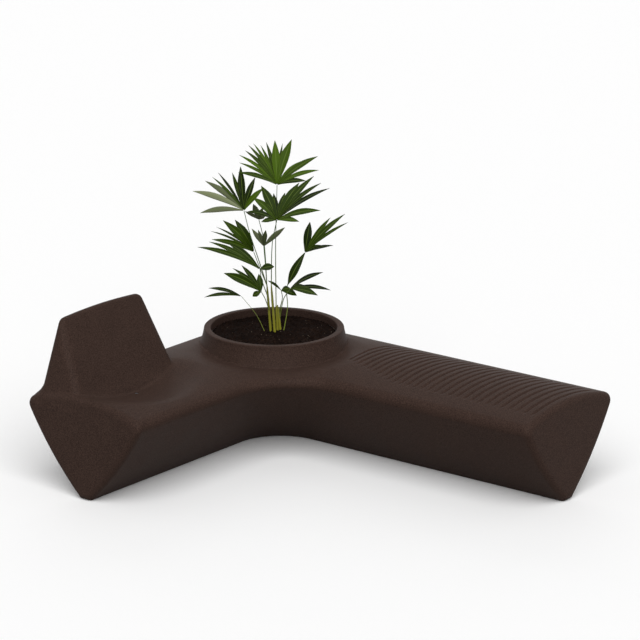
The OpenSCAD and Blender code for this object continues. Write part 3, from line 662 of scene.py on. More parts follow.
class BenchSizes(bpy.types.PropertyGroup):
    """Sizes of the moulding; they repeat the named sizes of the packed part."""

    seat_height: size("Seat height", "Height of the seat crown", 0.440)
    arm_width: size("Arm width", "Width across an arm's top edges", 0.608)
    ribbed_length: size("Ribbed arm", "Planter axis to the end of the ribbed arm", 1.500)
    chair_length: size("Chair arm", "Planter axis to the end of the chair arm", 1.160)
    outer_reach: size("Outer reach", "Planter axis to the outer edges", 0.380)
    base_width: size("Base width", "Width of the flat base strip", 0.044)
    edge_radius: size("Edge radius", "Radius of the upper long edges", 0.038)
    edge_drop: size("Edge drop", "Crown to the centre of the edge's circle", 0.078)
    foot_radius: size("Foot radius", "Radius beside the base strip", 0.010)
    side_radius: size("Side radius", "Bulge of the undercut sides", 1.450)
    end_radius: size("End radius", "Rounding of the end faces", 0.026)
    corner_low: size("Low corner radius", "Inner corner's fillet at the ground", 0.210)
    corner_high: size("High corner radius", "Inner corner's fillet at the top edge", 0.290)
    corner_gain: size("Corner gain", "Growth of that fillet up to the crown", 0.400)
    collar_radius: size("Collar radius", "Outer radius of the planter's collar", 0.302)
    rim_width: size("Rim width", "Width of the flat rim", 0.030)
    rim_rise: size("Rim rise", "Rim above the seat crown", 0.052)
    rim_edge: size("Rim edge", "Rounding of the rim's edges", 0.005)
    collar_flare: size("Collar flare", "How far the collar's wall flares out to its foot", 0.030)
    collar_foot: size("Collar foot", "Seat crown to the foot of the collar's wall", 0.055)
    dish_depth: size("Dish depth", "Dish round the collar's front, below the crown", 0.056)
    dish_radius: size("Dish radius", "Radius of that dish", 1.200)
    dish_place: size("Dish place", "How far its middle lies out along each arm", 0.100)
    well_depth: size("Well depth", "Depth of the well below the rim", 0.362)
    ledge_width: size("Ledge width", "Width of the liner's ledge", 0.009)
    ledge_drop: size("Ledge drop", "Depth of the ledge below the rim", 0.040)
    well_floor_radius: size("Well floor radius", "Inside radius of the well's floor", 0.150)
    back_rise: size("Backrest height", "Backrest above the seat crown", 0.285)
    back_width: size("Backrest width", "Width of the backrest at the seat", 0.630)
    back_sink: size("Backrest sink", "Seat crown to where the backrest's sizes start", 0.010)
    back_mid: size("Backrest place", "Planter axis to the middle of the backrest", 0.825)
    back_depth: size("Backrest depth", "Depth of the backrest at the seat", 0.211)
    back_front: size("Backrest front", "Planter axis to the backrest's front face", 0.120)
    back_lean: degrees("Backrest lean", "Lean of the front face, in degrees", 24.0)
    back_taper: degrees("Backrest taper", "Taper of the two ends, in degrees", 9.5)
    back_top_radius: size("Top radius", "Rounding of the backrest's top edge", 0.016)
    back_corner: size("Corner radius", "Rounding of the backrest's corners", 0.044)
    back_foot: size("Backrest foot", "Seat crown to the foot of the sweeps", 0.037)
    back_low: size("Backrest root", "Seat crown to the backrest's end inside the arm", 0.077)
    back_end: size("Upper corner radius", "Rounding of the two upper corners", 0.050)
    back_arch: size("Top arch", "Rise of the top edge's middle", 0.012)
    toe_front: size("Front sweep", "Reach of the sweep before the backrest", 0.005)
    toe_rear: size("Rear sweep", "Reach of the sweep behind the backrest", 0.025)
    toe_near: size("Near sweep", "Reach of the sweep at the arm's end", 0.012)
    toe_far: size("Far sweep", "Reach of the sweep at the planter's side", 0.030)
    toe_rise: size("Sweep height", "Height of these sweeps", 0.054)
    trough_depth: size("Trough depth", "Scoop before the backrest, below the crown", 0.061)
    trough_radius: size("Trough radius", "Radius of the scoop", 0.850)
    trough_x: size("Trough across", "Place of the scoop across the arm", -0.078)
    trough_y: size("Trough along", "Place of the scoop along the arm", -0.815)
    grid_step: size("Grid step", "Spacing of the skin's mesh", 0.0082)


class GrooveSizes(bpy.types.PropertyGroup):
    """Grooves across the ribbed seat."""

    count: IntProperty(name="Grooves", description="Number of grooves", default=29, min=1)
    start: size("First groove", "Planter axis to the first groove", 0.430)
    pitch: size("Pitch", "Pitch beside the planter", 0.034)
    growth: size("Growth", "How much wider the last pitch is", 0.005)
    depth: size("Depth", "Depth of a groove at the crown", 0.0074)
    below_crown: size("Lowest", "Seat crown to the lowest place that a groove reaches", 0.042)
    width: size("Width", "Width of a groove", 0.019)
    reach: size("Reach", "Reach from the crown to the outer edge", 0.225)
    first_reach: size("First reach", "Inner reach of the first groove", 0.122)
    step: size("Reach step", "How much further the next groove reaches", 0.011)
    fade: size("Fade", "Length in which a groove's end fades", 0.045)


class FittingSizes(bpy.types.PropertyGroup):
    """Pockets and bores of the fittings."""

    fill_rise: size("Filler height", "Filler above the seat crown", 0.120)
    fill_sink: size("Filler recess", "Depth of the filler's recess", 0.008)
    neck_radius: size("Neck radius", "Bore of the filler's neck", 0.029)
    recess_radius: size("Recess radius", "Radius of the filler's recess", 0.037)
    plug_height: size("Drain height", "Height of the drains", 0.048)
    plug_in: size("Drain depth", "Middle line to the seats of the drains", 0.036)
    plug_inset: size("Drain inset", "End of an arm to its drain", 0.110)
    neck_depth: size("Neck depth", "Depth of the filler's neck", 0.064)
    bush_depth: size("Bush depth", "Depth of a drain's bush", 0.027)
    bush_radius: size("Bush radius", "Bore of a drain's bush", 0.015)
    pocket_radius: size("Pocket radius", "Radius of a drain's pocket", 0.023)
    insert_radius: size("Insert radius", "Bore of a ground insert", 0.0091)
    insert_depth: size("Insert depth", "Depth of a ground insert", 0.022)
    ribbed_middle: size("Ribbed anchors", "Middle of the ribbed arm's anchors", 0.800)
    ribbed_pitch: size("Ribbed pitch", "Their spacing", 1.100)
    chair_middle: size("Chair anchors", "Middle of the chair arm's anchors", 0.655)
    chair_pitch: size("Chair pitch", "Their spacing", 0.710)
    pipe_radius: size("Pipe radius", "Outer radius of the well's drain pipe", 0.016)
    pipe_x: size("Pipe across", "Place of the pipe", -0.030)
    pipe_y: size("Pipe along", "Place of the pipe", 0.030)
    tube_radius: size("Tube radius", "Outer radius of the seat's drain tube", 0.007)
    seal_ring: size("Ring width", "Width of the rubber rings round pipe and tube", 0.0025)
    channel_width: size("Channel width", "Width of the channel under the base", 0.024)
    channel_height: size("Channel height", "Height of that channel", 0.004)


class PlantingSizes(bpy.types.PropertyGroup):
    """Soil and palm."""

    soil_drop: size("Soil drop", "Soil below the rim", 0.028)
    soil_mound: size("Soil mound", "Rise of the soil in the middle", 0.008)
    soil_gap: size("Soil gap", "Gap between soil and well", 0.003)
    crumbs: IntProperty(name="Crumbs", description="Crumbs for each square metre", default=9000)
    flecks: IntProperty(name="Flecks", description="Pale flecks for each square metre", default=170)
    soil_waves: size("Soil waves", "Height of the soil's unevenness", 0.0011)
    crumb: size("Crumb", "Largest radius of a crumb", 0.0042)
    seed: IntProperty(name="Seed", description="Fixes the scatter", default=7)
    palm_height: size("Palm height", "Height of the palm above the soil", 0.830)
    palm_turn: degrees("Palm turn", "Turn of the palm about its axis, in degrees", 38.0)
    cane_radius: size("Cane radius", "Radius of a cane", 0.006)
    stalk_radius: size("Stalk radius", "Radius of a leaf stalk", 0.0021)
    shoot_radius: size("Shoot radius", "Radius of the lowest frond's thin stalk", 0.0013)
    node_pitch: size("Node pitch", "Spacing of the rings on a cane", 0.034)
    node_swell: amount("Node swell", "How much a ring is thicker than the cane", 0.16)
    fold: amount("Fold", "Depth of a leaflet's fold as a share of its width", 0.24)
    blade: amount("Blade", "Thickness of a leaflet as a share of its width", 0.035)
    arch: amount("Arch", "Bow of a leaflet as a share of its length", 0.06)


class FinishColours(bpy.types.PropertyGroup):
    """Colours of what the photo shows."""

    skin_dark: tint("Skin dark", "Darker grain of the brown moulding", "#1d1411")
    skin_light: tint("Skin light", "Lighter grain of the brown moulding", "#4e3d36")
    # The two leaf colours below end the blade's ramp: leaflets differ in tone by chance, and
    # painted shade pulls the lower fronds towards the darker colour
    leaf_deep: tint("Leaf deep", "Old leaflets", "#0a1302")
    leaf_bright: tint("Leaf fresh", "Young leaflets", "#3f5805")
    leaf_rib: tint("Leaf rib", "Ribs of the leaflets", "#6d8234")
    under_deep: tint("Underside deep", "Shaded underside", "#3a412c")
    under_fresh: tint("Underside fresh", "Lit underside", "#868c6c")
    cane_low: tint("Cane low", "Canes at the soil", "#8c882a")
    cane_high: tint("Cane high", "Canes further up", "#4f5820")
    stalk_low: tint("Stalk low", "Stalks at the soil", "#7f8a35")
    stalk_high: tint("Stalk high", "Stalks further up", "#3f5a26")


class StudioSettings(bpy.types.PropertyGroup):
    """Camera and light."""

    camera_place: FloatVectorProperty(
        name="Camera",
        description="Place of the camera",
        default=(9.639, -11.939, 5.051),
        unit="LENGTH",
    )
    camera_fall: degrees("Camera tilt", "Tilt below the horizon, in degrees", 16.452)
    camera_turn: degrees("Camera turn", "Turn about the vertical, in degrees", 38.177)
    lens: amount("Lens", "Focal length on 36 mm, in millimetres", 209.16)
    sky: amount("Sky", "Strength of the even light from all round", 0.34)
    lamp: amount("Key light", "Irradiance of the key light, in W/m2", 2.6)
    lamp_rise: degrees("Key light height", "Its height above the horizon, in degrees", 46.0)
    lamp_turn: degrees("Key light turn", "Its turn from +X, in degrees", -48.0)
    lamp_spread: degrees("Light spread", "Angle under which a light is seen, in degrees", 55.0)
    fill: amount("Fill light", "Irradiance of the light from behind, in W/m2", 0.7)
    fill_rise: degrees("Fill light height", "Its height above the horizon, in degrees", 12.0)
    bounce: tint("Floor bounce", "Colour of the floor as it lights the bench", "#aba9a7")
    floor: tint("Floor", "Colour of the floor as it is seen", "#ffffff")


# Palm, as the packed part has it, in millimetres: hub place [right, back, up], [lean, turn], then
# [angle from upright, length, width] of each leaflet
FRONDS = [
    [[15, 0, 656], [30, 0], [[-72, 175, 20], [-59, 190, 14], [-51, 210, 16], [-42, 205, 18],
        [-35, 215, 16], [-29, 210, 14], [-22, 190, 14], [-14, 195, 18], [-3, 197, 34], [7, 185, 14],
        [17, 210, 38], [44, 145, 18], [54, 215, 26], [70, 190, 20], [82, 125, 22]]],
    [[-126, -20, 548], [20, -15], [[-97, 195, 24], [-74, 245, 26], [-58, 217, 26], [-49, 205, 12],
        [-40, 203, 12], [-23, 173, 20], [-10, 190, 32], [14, 150, 26], [37, 127, 24]]],
    [[15, -95, 526], [30, 0], [[-97, 67, 20], [-73, 130, 22], [-46, 142, 30], [-24, 165, 38],
        [-7, 118, 26], [16, 126, 22], [30, 190, 32], [39, 250, 26], [49, 250, 20], [58, 265, 20],
        [77, 190, 26], [94, 95, 22]]],
    [[-42, -40, 396], [-25, 0], [[-27, 110, 20], [-14, 95, 16], [6, 90, 22], [41, 140, 24]]],
    [[-86, 20, 354], [15, 10], [[-71, 190, 22], [-62, 208, 10], [-54, 195, 10], [-42, 190, 34],
        [-28, 160, 36]]],
    [[-58, -70, 302], [30, 0], [[-70, 285, 22], [-61, 250, 20], [-50, 183, 26], [79, 62, 30]]],
    [[-53, -80, 207], [20, 0], [[-120, 43, 24], [-64, 178, 36], [-51, 158, 16], [-37, 140, 22],
        [-8, 76, 26]]],
    [[-141, 30, 154], [30, 0], [[-92, 160, 16], [-76, 146, 16]]],
    [[134, 20, 352], [15, 0], [[-152, 158, 34], [9, 133, 34], [36, 185, 20], [46, 238, 22],
        [55, 225, 14], [65, 75, 20], [76, 125, 14]]],
    [[70, -50, 210], [35, 0], [[62, 160, 22], [80, 70, 18], [92, 174, 18], [104, 122, 28]]],
    [[32, -20, 193], [45, 0], [[-50, 77, 12], [72, 40, 24], [110, 71, 28]]],
    [[-64, 50, 490], [-15, 0], [[-56, 71, 16], [-17, 80, 26], [16, 61, 20], [60, 31, 18]]],
]
# Height at which canes and the outer stalks end in the soil
ROOT = -20
# Canes and stalks: which kind, then the places that they pass; a whole number is a frond's hub
STEMS = [
    ["cane", [[-12, 0, ROOT], [-30, 0, 216]]],
    ["cane", [[5, -20, ROOT], [-11, -20, 221]]],
    ["cane", [[16, 10, ROOT], [9, 10, 121]]],
    ["cane", [[29, 20, ROOT], [15, 20, 118]]],
    ["stalk", [[9, 10, 116], [8, 5, 386], 0]],
    ["stalk", [[-30, 0, 211], [-60, -5, 311], [-103, -15, 451], 1]],
    ["stalk", [[-11, -20, 216], [-5, -60, 416], 2]],
    ["stalk", [[-30, 0, 211], [-36, -30, 316], 3]],
    ["stalk", [[-30, 0, 211], [-62, 10, 291], 4]],
    ["stalk", [[-25, 0, 156], [-52, -40, 251], 5]],
    ["stalk", [[-20, 0, 96], [-35, -50, 161], 6]],
    ["shoot", [[-30, 0, ROOT], [-76, 10, 76], 7]],
    ["stalk", [[37, 10, ROOT], [58, 15, 106], [58, 20, 206], 8]],
    ["stalk", [[24, 20, 56], [42, -20, 156], 9]],
    ["stalk", [[20, 20, 86], [36, 5, 151], 10]],
    ["stalk", [[-30, 0, 211], [-42, 25, 396], 11]],
]
# Leaflets of the second frond below this angle hang over and show their underside
TURNED = {1: -55}
# Height of the palm, in millimetres, for which these places are given
DRAWN_HEIGHT = 830
# Degrees over which a leaflet's roll varies, and how much wider it is than its packed blade
ROLL, WIDER = 16, 1.04


# Geometry Nodes


def new_tree(name, **inputs):
    """Geometry Nodes tree and its input sockets by name: Geometry, and the names that are listed
    for each kind of socket."""
    tree = bpy.data.node_groups.new(name, "GeometryNodeTree")
    for side in ("INPUT", "OUTPUT"):
        tree.interface.new_socket("Geometry", in_out=side, socket_type="NodeSocketGeometry")
    for kind, labels in inputs.items():
        for label in labels:
            tree.interface.new_socket(label, in_out="INPUT", socket_type="NodeSocket" + kind)
    given = {socket.name: socket for socket in add(tree, "NodeGroupInput").outputs}
    return tree, given


def end_tree(tree, geometry, *materials):
    """Realizes instances, sets each material on its selection and ends the tree."""
    last = add(tree, "GeometryNodeRealizeInstances", {"Geometry": geometry}).outputs[0]
    for material, selection in materials:
        inputs = {"Geometry": last, "Material": material, "Selection": selection}
        last = add(tree, "GeometryNodeSetMaterial", inputs).outputs[0]
    add(tree, "NodeGroupOutput", {"Geometry": last})
    return tree


def groove_tree():
    """Presses grooves into the top of the ribbed arm: valleys on a slowly growing pitch that fade
    out towards their ends."""
    sizes = ["Count", "Start", "Pitch", "Growth", "Depth", "Width", "Reach", "First reach"]
    sizes += ["Reach step", "Fade", "Middle", "Lowest"]
    tree, given = new_tree("seat_grooves", Float=sizes, Material=["Finish"])
    place = add(tree, "GeometryNodeInputPosition").outputs[0]
    parts = dict(zip("xyz", add(tree, "ShaderNodeSeparateXYZ", {0: place}).outputs))
    known = work_out(
        tree,
        MATH,
        given | parts,
        {
            # Groove n lies at start + n * (pitch + bend * n), so a root gives the nearest n
            "last": ("SUBTRACT", "Count", 1.0),
            "half growth": ("MULTIPLY", "Growth", 0.5),
            "gaps": ("MAXIMUM", "last", 1.0),
            "bend": ("DIVIDE", "half growth", "gaps"),
            "past start": ("SUBTRACT", "x", "Start"),
            "run": ("MAXIMUM", "past start", 0.0),
            "four bends": ("MULTIPLY", "bend", 4.0),
            "pitch squared": ("POWER", "Pitch", 2.0),
            "square": ("MULTIPLY_ADD", "four bends", "run", "pitch squared"),
            "root": ("SQRT", "square"),
            "two runs": ("MULTIPLY", "run", 2.0),
            "pitch and root": ("ADD", "Pitch", "root"),
            "fraction": ("DIVIDE", "two runs", "pitch and root"),
            "nearest": ("ROUND", "fraction"),
            "number": ("MINIMUM", "nearest", "last"),
            "mean pitch": ("MULTIPLY_ADD", "bend", "number", "Pitch"),
            "centre": ("MULTIPLY_ADD", "number", "mean pitch", "Start"),
            # The valley is one wave of a cosine
            "from centre": ("SUBTRACT", "x", "centre"),
            "distance": ("ABSOLUTE", "from centre"),
            "half width": ("MULTIPLY", "Width", 0.5),
            "off": ("DIVIDE", "distance", "half width"),
            "held off": ("MINIMUM", "off", 1.0),
            "angle": ("MULTIPLY", "held off", math.pi),
            "wave": ("COSINE", "angle"),
            "valley": ("MULTIPLY_ADD", "wave", 0.5, 0.5),
            # The inner reach grows from groove to groove up to the outer one
            "across": ("SUBTRACT", "y", "Middle"),
            "grown reach": ("MULTIPLY_ADD", "number", "Reach step", "First reach"),
            "inner reach": ("MINIMUM", "grown reach", "Reach"),
            "inner room": ("ADD", "inner reach", "across"),
            "outer room": ("SUBTRACT", "Reach", "across"),
            "room": ("MINIMUM", "inner room", "outer room"),
        },
    )
    fading = {"Value": known["room"], "From Max": given["Fade"]}
    fade = add(tree, "ShaderNodeMapRange", fading, interpolation_type="SMOOTHSTEP")
    known["fade"] = fade.outputs["Result"]
    steps = {
        "share": ("MULTIPLY", "valley", "fade"),
        "down": ("MULTIPLY", "Depth", -1.0),
        "move": ("MULTIPLY", "share", "down"),
        "top": ("GREATER_THAN", "z", "Lowest"),
    }
    known = work_out(tree, MATH, known, steps)
    offset = add(tree, "ShaderNodeCombineXYZ", {"Z": known["move"]}).outputs[0]
    inputs = {"Geometry": given["Geometry"], "Selection": known["top"], "Offset": offset}
    moved = add(tree, "GeometryNodeSetPosition", inputs).outputs[0]
    return end_tree(tree, moved, (given["Finish"], True))


def scatter_tree():
    """Scatters one small shape over the upward faces of a surface, each turned and sized by
    chance."""
    tree, given = new_tree(
        "scattered_crumbs",
        Object=["Shape"],
        Float=["Density", "Smallest", "Largest", "Lowest"],
        Int=["Seed"],
        Material=["Finish"],
    )
    place = add(tree, "GeometryNodeInputPosition").outputs[0]
    height = add(tree, "ShaderNodeSeparateXYZ", {0: place}).outputs["Z"]
    lowest = {0: height, 1: given["Lowest"]}
    up = add(tree, MATH, lowest, operation="GREATER_THAN").outputs[0]
    inputs = {name: given[name] for name in ("Density", "Seed")}
    inputs |= {"Mesh": given["Geometry"], "Selection": up}
    points = add(tree, "GeometryNodeDistributePointsOnFaces", inputs).outputs["Points"]
    any_turn = {1: (FULL_TURN,) * 3, "Seed": given["Seed"]}
    turn = add(tree, "FunctionNodeRandomValue", any_turn, data_type="FLOAT_VECTOR").outputs[0]
    any_size = {2: given["Smallest"], 3: given["Largest"], "Seed": given["Seed"]}
    shape = add(tree, "GeometryNodeObjectInfo", {"Object": given["Shape"]})
    inputs = {
        "Points": points,
        "Instance": shape.outputs["Geometry"],
        "Rotation": add(tree, "FunctionNodeEulerToRotation", {0: turn}).outputs[0],
        "Scale": add(tree, "FunctionNodeRandomValue", any_size, data_type="FLOAT").outputs[1],
    }
    placed = add(tree, "GeometryNodeInstanceOnPoints", inputs).outputs[0]
    return end_tree(tree, placed, (given["Finish"], True))


def fan_tree():
    """Places leaflets on a frond's points and bows each one along its length."""
    finishes = ["Upper finish", "Under finish"]
    tree, given = new_tree("leaf_fan", Object=["Leaflet"], Material=finishes)
    kinds = dict.fromkeys(("turn", "size", "bow"), "FLOAT_VECTOR")
    kinds |= {"along": "FLOAT", "under": "BOOLEAN"}
    leaf = {
        name: add(tree, STORED, {"Name": name}, data_type=kind).outputs[0]
        for name, kind in kinds.items()
    }
    leaflet = add(tree, "GeometryNodeObjectInfo", {"Object": given["Leaflet"]})
    inputs = {
        "Points": given["Geometry"],
        "Instance": leaflet.outputs["Geometry"],
        "Rotation": add(tree, "FunctionNodeEulerToRotation", {0: leaf["turn"]}).outputs[0],
        "Scale": leaf["size"],
    }
    placed = add(tree, "GeometryNodeInstanceOnPoints", inputs).outputs[0]
    made = add(tree, "GeometryNodeRealizeInstances", {"Geometry": placed}).outputs[0]
    hump = {
        "square": ("MULTIPLY", "along", "along"),
        "slack": ("SUBTRACT", "along", "square"),
        "swell": ("MULTIPLY", "slack", 4.0),
    }
    inputs = {0: leaf["bow"], "Scale": work_out(tree, MATH, leaf, hump)["swell"]}
    bow = add(tree, "ShaderNodeVectorMath", inputs, operation="SCALE").outputs[0]
    bowed = add(tree, "GeometryNodeSetPosition", {"Geometry": made, "Offset": bow}).outputs[0]
    upper, under = (given[name] for name in finishes)
    return end_tree(tree, bowed, (upper, True), (under, leaf["under"]))


def stem_tree():
    """Gives each path a round skin of its own radius; canes carry rings where old leaves
    stood."""
    finishes = ["Stalk finish", "Cane finish"]
    tree, given = new_tree("grown_stems", Float=["Node pitch", "Node swell"], Material=finishes)
    paths = add(tree, "GeometryNodeMeshToCurve", {"Mesh": given["Geometry"]}).outputs[0]
    circle = {"Resolution": 12, "Radius": 1.0}
    ring = add(tree, "GeometryNodeCurvePrimitiveCircle", circle).outputs[0]
    path = {
        name: add(tree, STORED, {"Name": name}, data_type="FLOAT").outputs[0]
        for name in ("cane", "radius")
    }
    path["length"] = add(tree, "GeometryNodeSplineParameter").outputs["Length"]
    known = work_out(
        tree,
        MATH,
        given | path,
        {
            "number": ("DIVIDE", "length", "Node pitch"),
            "saw": ("FRACT", "number"),
            "fold": ("MULTIPLY_ADD", "saw", 2.0, -1.0),
            "peak": ("ABSOLUTE", "fold"),
            "spike": ("POWER", "peak", 9.0),
            "rise": ("MULTIPLY", "spike", "Node swell"),
            "swell": ("MULTIPLY_ADD", "rise", "cane", 1.0),
            "width": ("MULTIPLY", "swell", "radius"),
            "is cane": ("GREATER_THAN", "cane", 0.5),
        },
    )
    inputs = {"Curve": paths, "Profile Curve": ring, "Scale": known["width"], "Fill Caps": True}
    skin = add(tree, "GeometryNodeCurveToMesh", inputs).outputs[0]
    smooth = add(tree, "GeometryNodeSetShadeSmooth", {"Geometry": skin}).outputs[0]
    stalk, cane = (given[name] for name in finishes)
    return end_tree(tree, smooth, (stalk, True), (cane, known["is cane"]))


# Pieces


def skin_lines(b):
    """Grid lines for the skin, closer together at the base strip and a margin past the bench."""
    margin, above = 0.010, 0.016
    base = [-0.004, 0.0015, 0.0065, 0.013]
    even = lambda low, high: np.linspace(low, high, int(round((high - low) / b.grid_step)) + 1)
    return [
        even(-b.outer_reach - margin, b.ribbed_length + margin),
        even(-b.chair_length - margin, b.outer_reach + margin),
        np.concatenate([base, even(0.020, b.seat_height + b.back_rise + above)]),
    ]


def refine_seat(piece, low, high, floor):
    """Splits the edges that run along the ribbed seat, so that its mesh can hold the grooves."""
    # Least share of an edge's length that has to lie along X
    straight = 0.8
    bm = bmesh.new()
    bm.from_mesh(piece.data)
    chosen = []
    for e in bm.edges:
        p, q = e.verts[0].co, e.verts[1].co
        if min(p.x, q.x) > low and max(p.x, q.x) < high and min(p.z, q.z) > floor:
            if abs(p.x - q.x) > straight * (p - q).length:
                chosen.append(e)
    bmesh.ops.subdivide_edges(bm, edges=chosen, cuts=2, use_grid_fill=True)
    bmesh.ops.triangulate(bm, faces=[f for f in bm.faces if len(f.verts) > 4])
    bm.to_mesh(piece.data)
    bm.free()


def move_points(piece, change):
    """Moves a mesh's points, where change gives new places for old ones."""
    points = np.empty(len(piece.data.vertices) * 3)
    piece.data.vertices.foreach_get("co", points)
    piece.data.vertices.foreach_set("co", change(points.reshape(-1, 3)).ravel())
    piece.data.update()


def smooth_shading(piece, angle=35.0):
    """Smooth shading, but sharp at edges over so many degrees."""
    piece.data.shade_smooth()
    piece.data.set_sharp_from_angle(angle=math.radians(angle))


def moulding_cutters(b, f):
    """Everything that is open in the moulding: the well, the fittings' seats and the drains."""
    edge, out, top, base = b.rim_edge, b.collar_radius, b.rim_z + ABOVE, -BELOW
    beside = out + 0.006
    well = [(0, b.floor_z), (b.well_floor_radius, b.floor_z)]
    well += [(b.well_r - b.ledge_width, b.ledge_z), (b.well_r, b.ledge_z)]
    well += arc((b.well_r + edge, b.rim_z - edge), edge, 180, 90, 6)
    well += arc((out - edge, b.rim_z - edge), edge, 90, 0, 6)
    well += [(beside, b.rim_z - edge - 0.0005), (beside, top), (0, top)]
    # The filler's recess has a small lip at the surface
    lip = 0.0015
    fill = [(0, -f.neck_depth), (f.neck_radius, -f.neck_depth), (f.neck_radius, -f.fill_sink)]
    fill += [(f.recess_radius, -f.fill_sink), (f.recess_radius, -lip)]
    fill += arc((f.recess_radius + lip, -lip), lip, 180, 90, 4)[1:]
    fill += [(f.recess_radius + lip, ABOVE), (0, ABOVE)]
    fill_z = b.seat_height + f.fill_rise
    rear = -b.back_front - b.back_depth + math.tan(b.rear_lean) * (fill_z - b.back_z)
    fill_turn = Matrix.Rotation(b.rear_lean - math.pi / 2, 4, "Y")
    beyond = 0.1
    drain = [(0, -f.bush_depth), (f.bush_radius, -f.bush_depth), (f.bush_radius, 0)]
    drain += [(f.pocket_radius, 0), (f.pocket_radius, beyond), (0, beyond)]
    ribbed = (b.ribbed_length - f.plug_inset, b.mid + f.plug_in, f.plug_height)
    chair = (-b.mid - f.plug_in, f.plug_inset - b.chair_length, f.plug_height)
    # The tube's hole opens into a small funnel in the scoop
    hole, funnel = f.tube_radius + f.seal_ring, 0.003
    tube = [(0, base), (hole, base), (hole, b.trough_z - 0.002)]
    tube += [(hole + funnel, b.trough_z + funnel), (hole + funnel, b.seat_height)]
    tube.append((0, b.seat_height))
    # The pipe's hole is wide up to the gasket and ends just under the well's floor
    wide, gasket, floor = f.pipe_radius + f.seal_ring, b.floor_z - 0.009, b.floor_z - 0.0001
    pipe = [(0, base), (wide, base), (wide, gasket), (f.pipe_radius, gasket)]
    pipe += [(f.pipe_radius, floor), (0, floor)]
    insert = [(0, base), (f.insert_radius, base)]
    insert += [(f.insert_radius, f.insert_depth), (0, f.insert_depth)]
    move, quarter = Matrix.Translation, -math.pi / 2
    shapes = [
        lathe(well, 192),
        lathe(fill, 64, move((rear, -b.back_mid, fill_z)) @ fill_turn),
        lathe(drain, 48, move(ribbed) @ Matrix.Rotation(quarter, 4, "X")),
        lathe(drain, 48, move(chair) @ Matrix.Rotation(quarter, 4, "Y")),
    ]
    for s in (-0.5, 0.5):
        on_ribbed = (f.ribbed_middle + s * f.ribbed_pitch, b.mid, 0)
        on_chair = (-b.mid, -f.chair_middle + s * f.chair_pitch, 0)
        shapes += [lathe(insert, 36, move(place)) for place in (on_ribbed, on_chair)]
    shapes.append(lathe(tube, 36, move((b.trough_x, b.trough_y, 0))))
    shapes.append(lathe(pipe, 36, move((f.pipe_x, f.pipe_y, 0))))
    return shapes


def channel_box(b, f):
    """Points and faces of the channel under the base, from the pipe out to the corner."""
    half, start = f.channel_width / 2, math.hypot(f.pipe_x, f.pipe_y)
    base = ((-half, start), (half, start), (half, b.outer_reach), (-half, b.outer_reach))
    turn = Matrix.Rotation(math.radians(45), 3, "Z")
    points = [tuple(turn @ Vector((*q, z))) for z in (-2 * BELOW, f.channel_height) for q in base]
    sides = [(i, (i + 1) % 4, (i + 1) % 4 + 4, i + 4) for i in range(4)]
    return points, [(3, 2, 1, 0), (4, 5, 6, 7)] + sides


def unit_leaflet(fold, blade):
    """Leaflet one long and one wide that stands on Z with its upper side towards -Y: two folded
    halves with a ridge in each, widest past the middle, with a drawn-out tip."""
    stations = [0.02, 0.06, 0.12, 0.2, 0.3, 0.4, 0.5, 0.6, 0.7, 0.79, 0.87, 0.93, 0.97, 1.0]
    drawn_at = [0.02, 0.12, 0.3, 0.45, 0.58, 0.72, 0.85, 0.95, 1.0]
    drawn_width = [0.14, 0.36, 0.74, 0.95, 1.0, 0.86, 0.52, 0.2, 0.03]
    widths = np.interp(stations, drawn_at, drawn_width)
    # Across the blade: place, lift of the fold and of the ridges
    cols = [-1.0, -0.66, -0.34, 0.0, 0.34, 0.66, 1.0]
    lifts = [1.0, 0.5, 0.5, 0.0, 0.5, 0.5, 1.0]
    ridges = [0.0, -0.12, 0.06, 0.0, 0.06, -0.12, 0.0]
    points, uvs = [], []
    for side in (-1, 1):
        for s, w in zip(stations, widths):
            # The fold opens and the blade thins towards the tip
            opening, thickness = 1.0 - 0.35 * s, blade * (1.2 - 0.9 * s)
            for x, lift, ridge in zip(cols, lifts, ridges):
                y = -fold * w * (lift * opening + ridge) + side * thickness / 2
                points.append((x * w / 2, y, s))
                uvs.append((0.5 + x / 2, s))
    n, k = len(cols), len(stations)
    layer = n * k
    faces, under = [], []
    for j in range(k - 1):
        for i in range(n - 1):
            a, c = j * n + i, (j + 1) * n + i
            faces.append((a, a + 1, c + 1, c))
            under.append(False)
            faces.append((layer + a, layer + c, layer + c + 1, layer + a + 1))
            under.append(True)
    rim = [j * n for j in range(k)] + [(k - 1) * n + i for i in range(1, n)]
    rim += [j * n + n - 1 for j in range(k - 2, -1, -1)] + [i for i in range(n - 2, 0, -1)]
    for p, q in zip(rim, rim[1:] + rim[:1]):
        faces.append((p, q, layer + q, layer + p))
        under.append(False)
    mesh = bpy.data.meshes.new("unit_leaflet")
    mesh.from_pydata(points, [], faces)
    uv = mesh.uv_layers.new(name="blade")
    for loop in mesh.loops:
        uv.data[loop.index].uv = uvs[loop.vertex_index]
    along = mesh.attributes.new("along", "FLOAT", "POINT")
    along.data.foreach_set("value", [p[2] for p in points])
    flag = mesh.attributes.new("under", "BOOLEAN", "FACE")
    flag.data.foreach_set("value", under)
    mesh.shade_smooth()
    mesh.update()
    return bpy.data.objects.new("unit_leaflet", mesh)


def chance(n):
    """The same share from 0 to 1 every time for a whole number."""
    return (math.sin(n * 12.9898 + 4.1) * 43758.5453) % 1.0


def point_attribute(mesh, name, kind, values):
    """Stores a value for each point of a mesh."""
    attribute = mesh.attributes.new(name, kind, "POINT")
    key = "vector" if kind == "FLOAT_VECTOR" else "value"
    attribute.data.foreach_set(key, np.asarray(values, float).ravel())


def palm_place(p):
    """Frame of the palm: right, back and up from the middle of the soil."""
    return Matrix.Translation((0, 0, p.soil_z)) @ Matrix.Rotation(math.radians(p.palm_turn), 4, "Z")


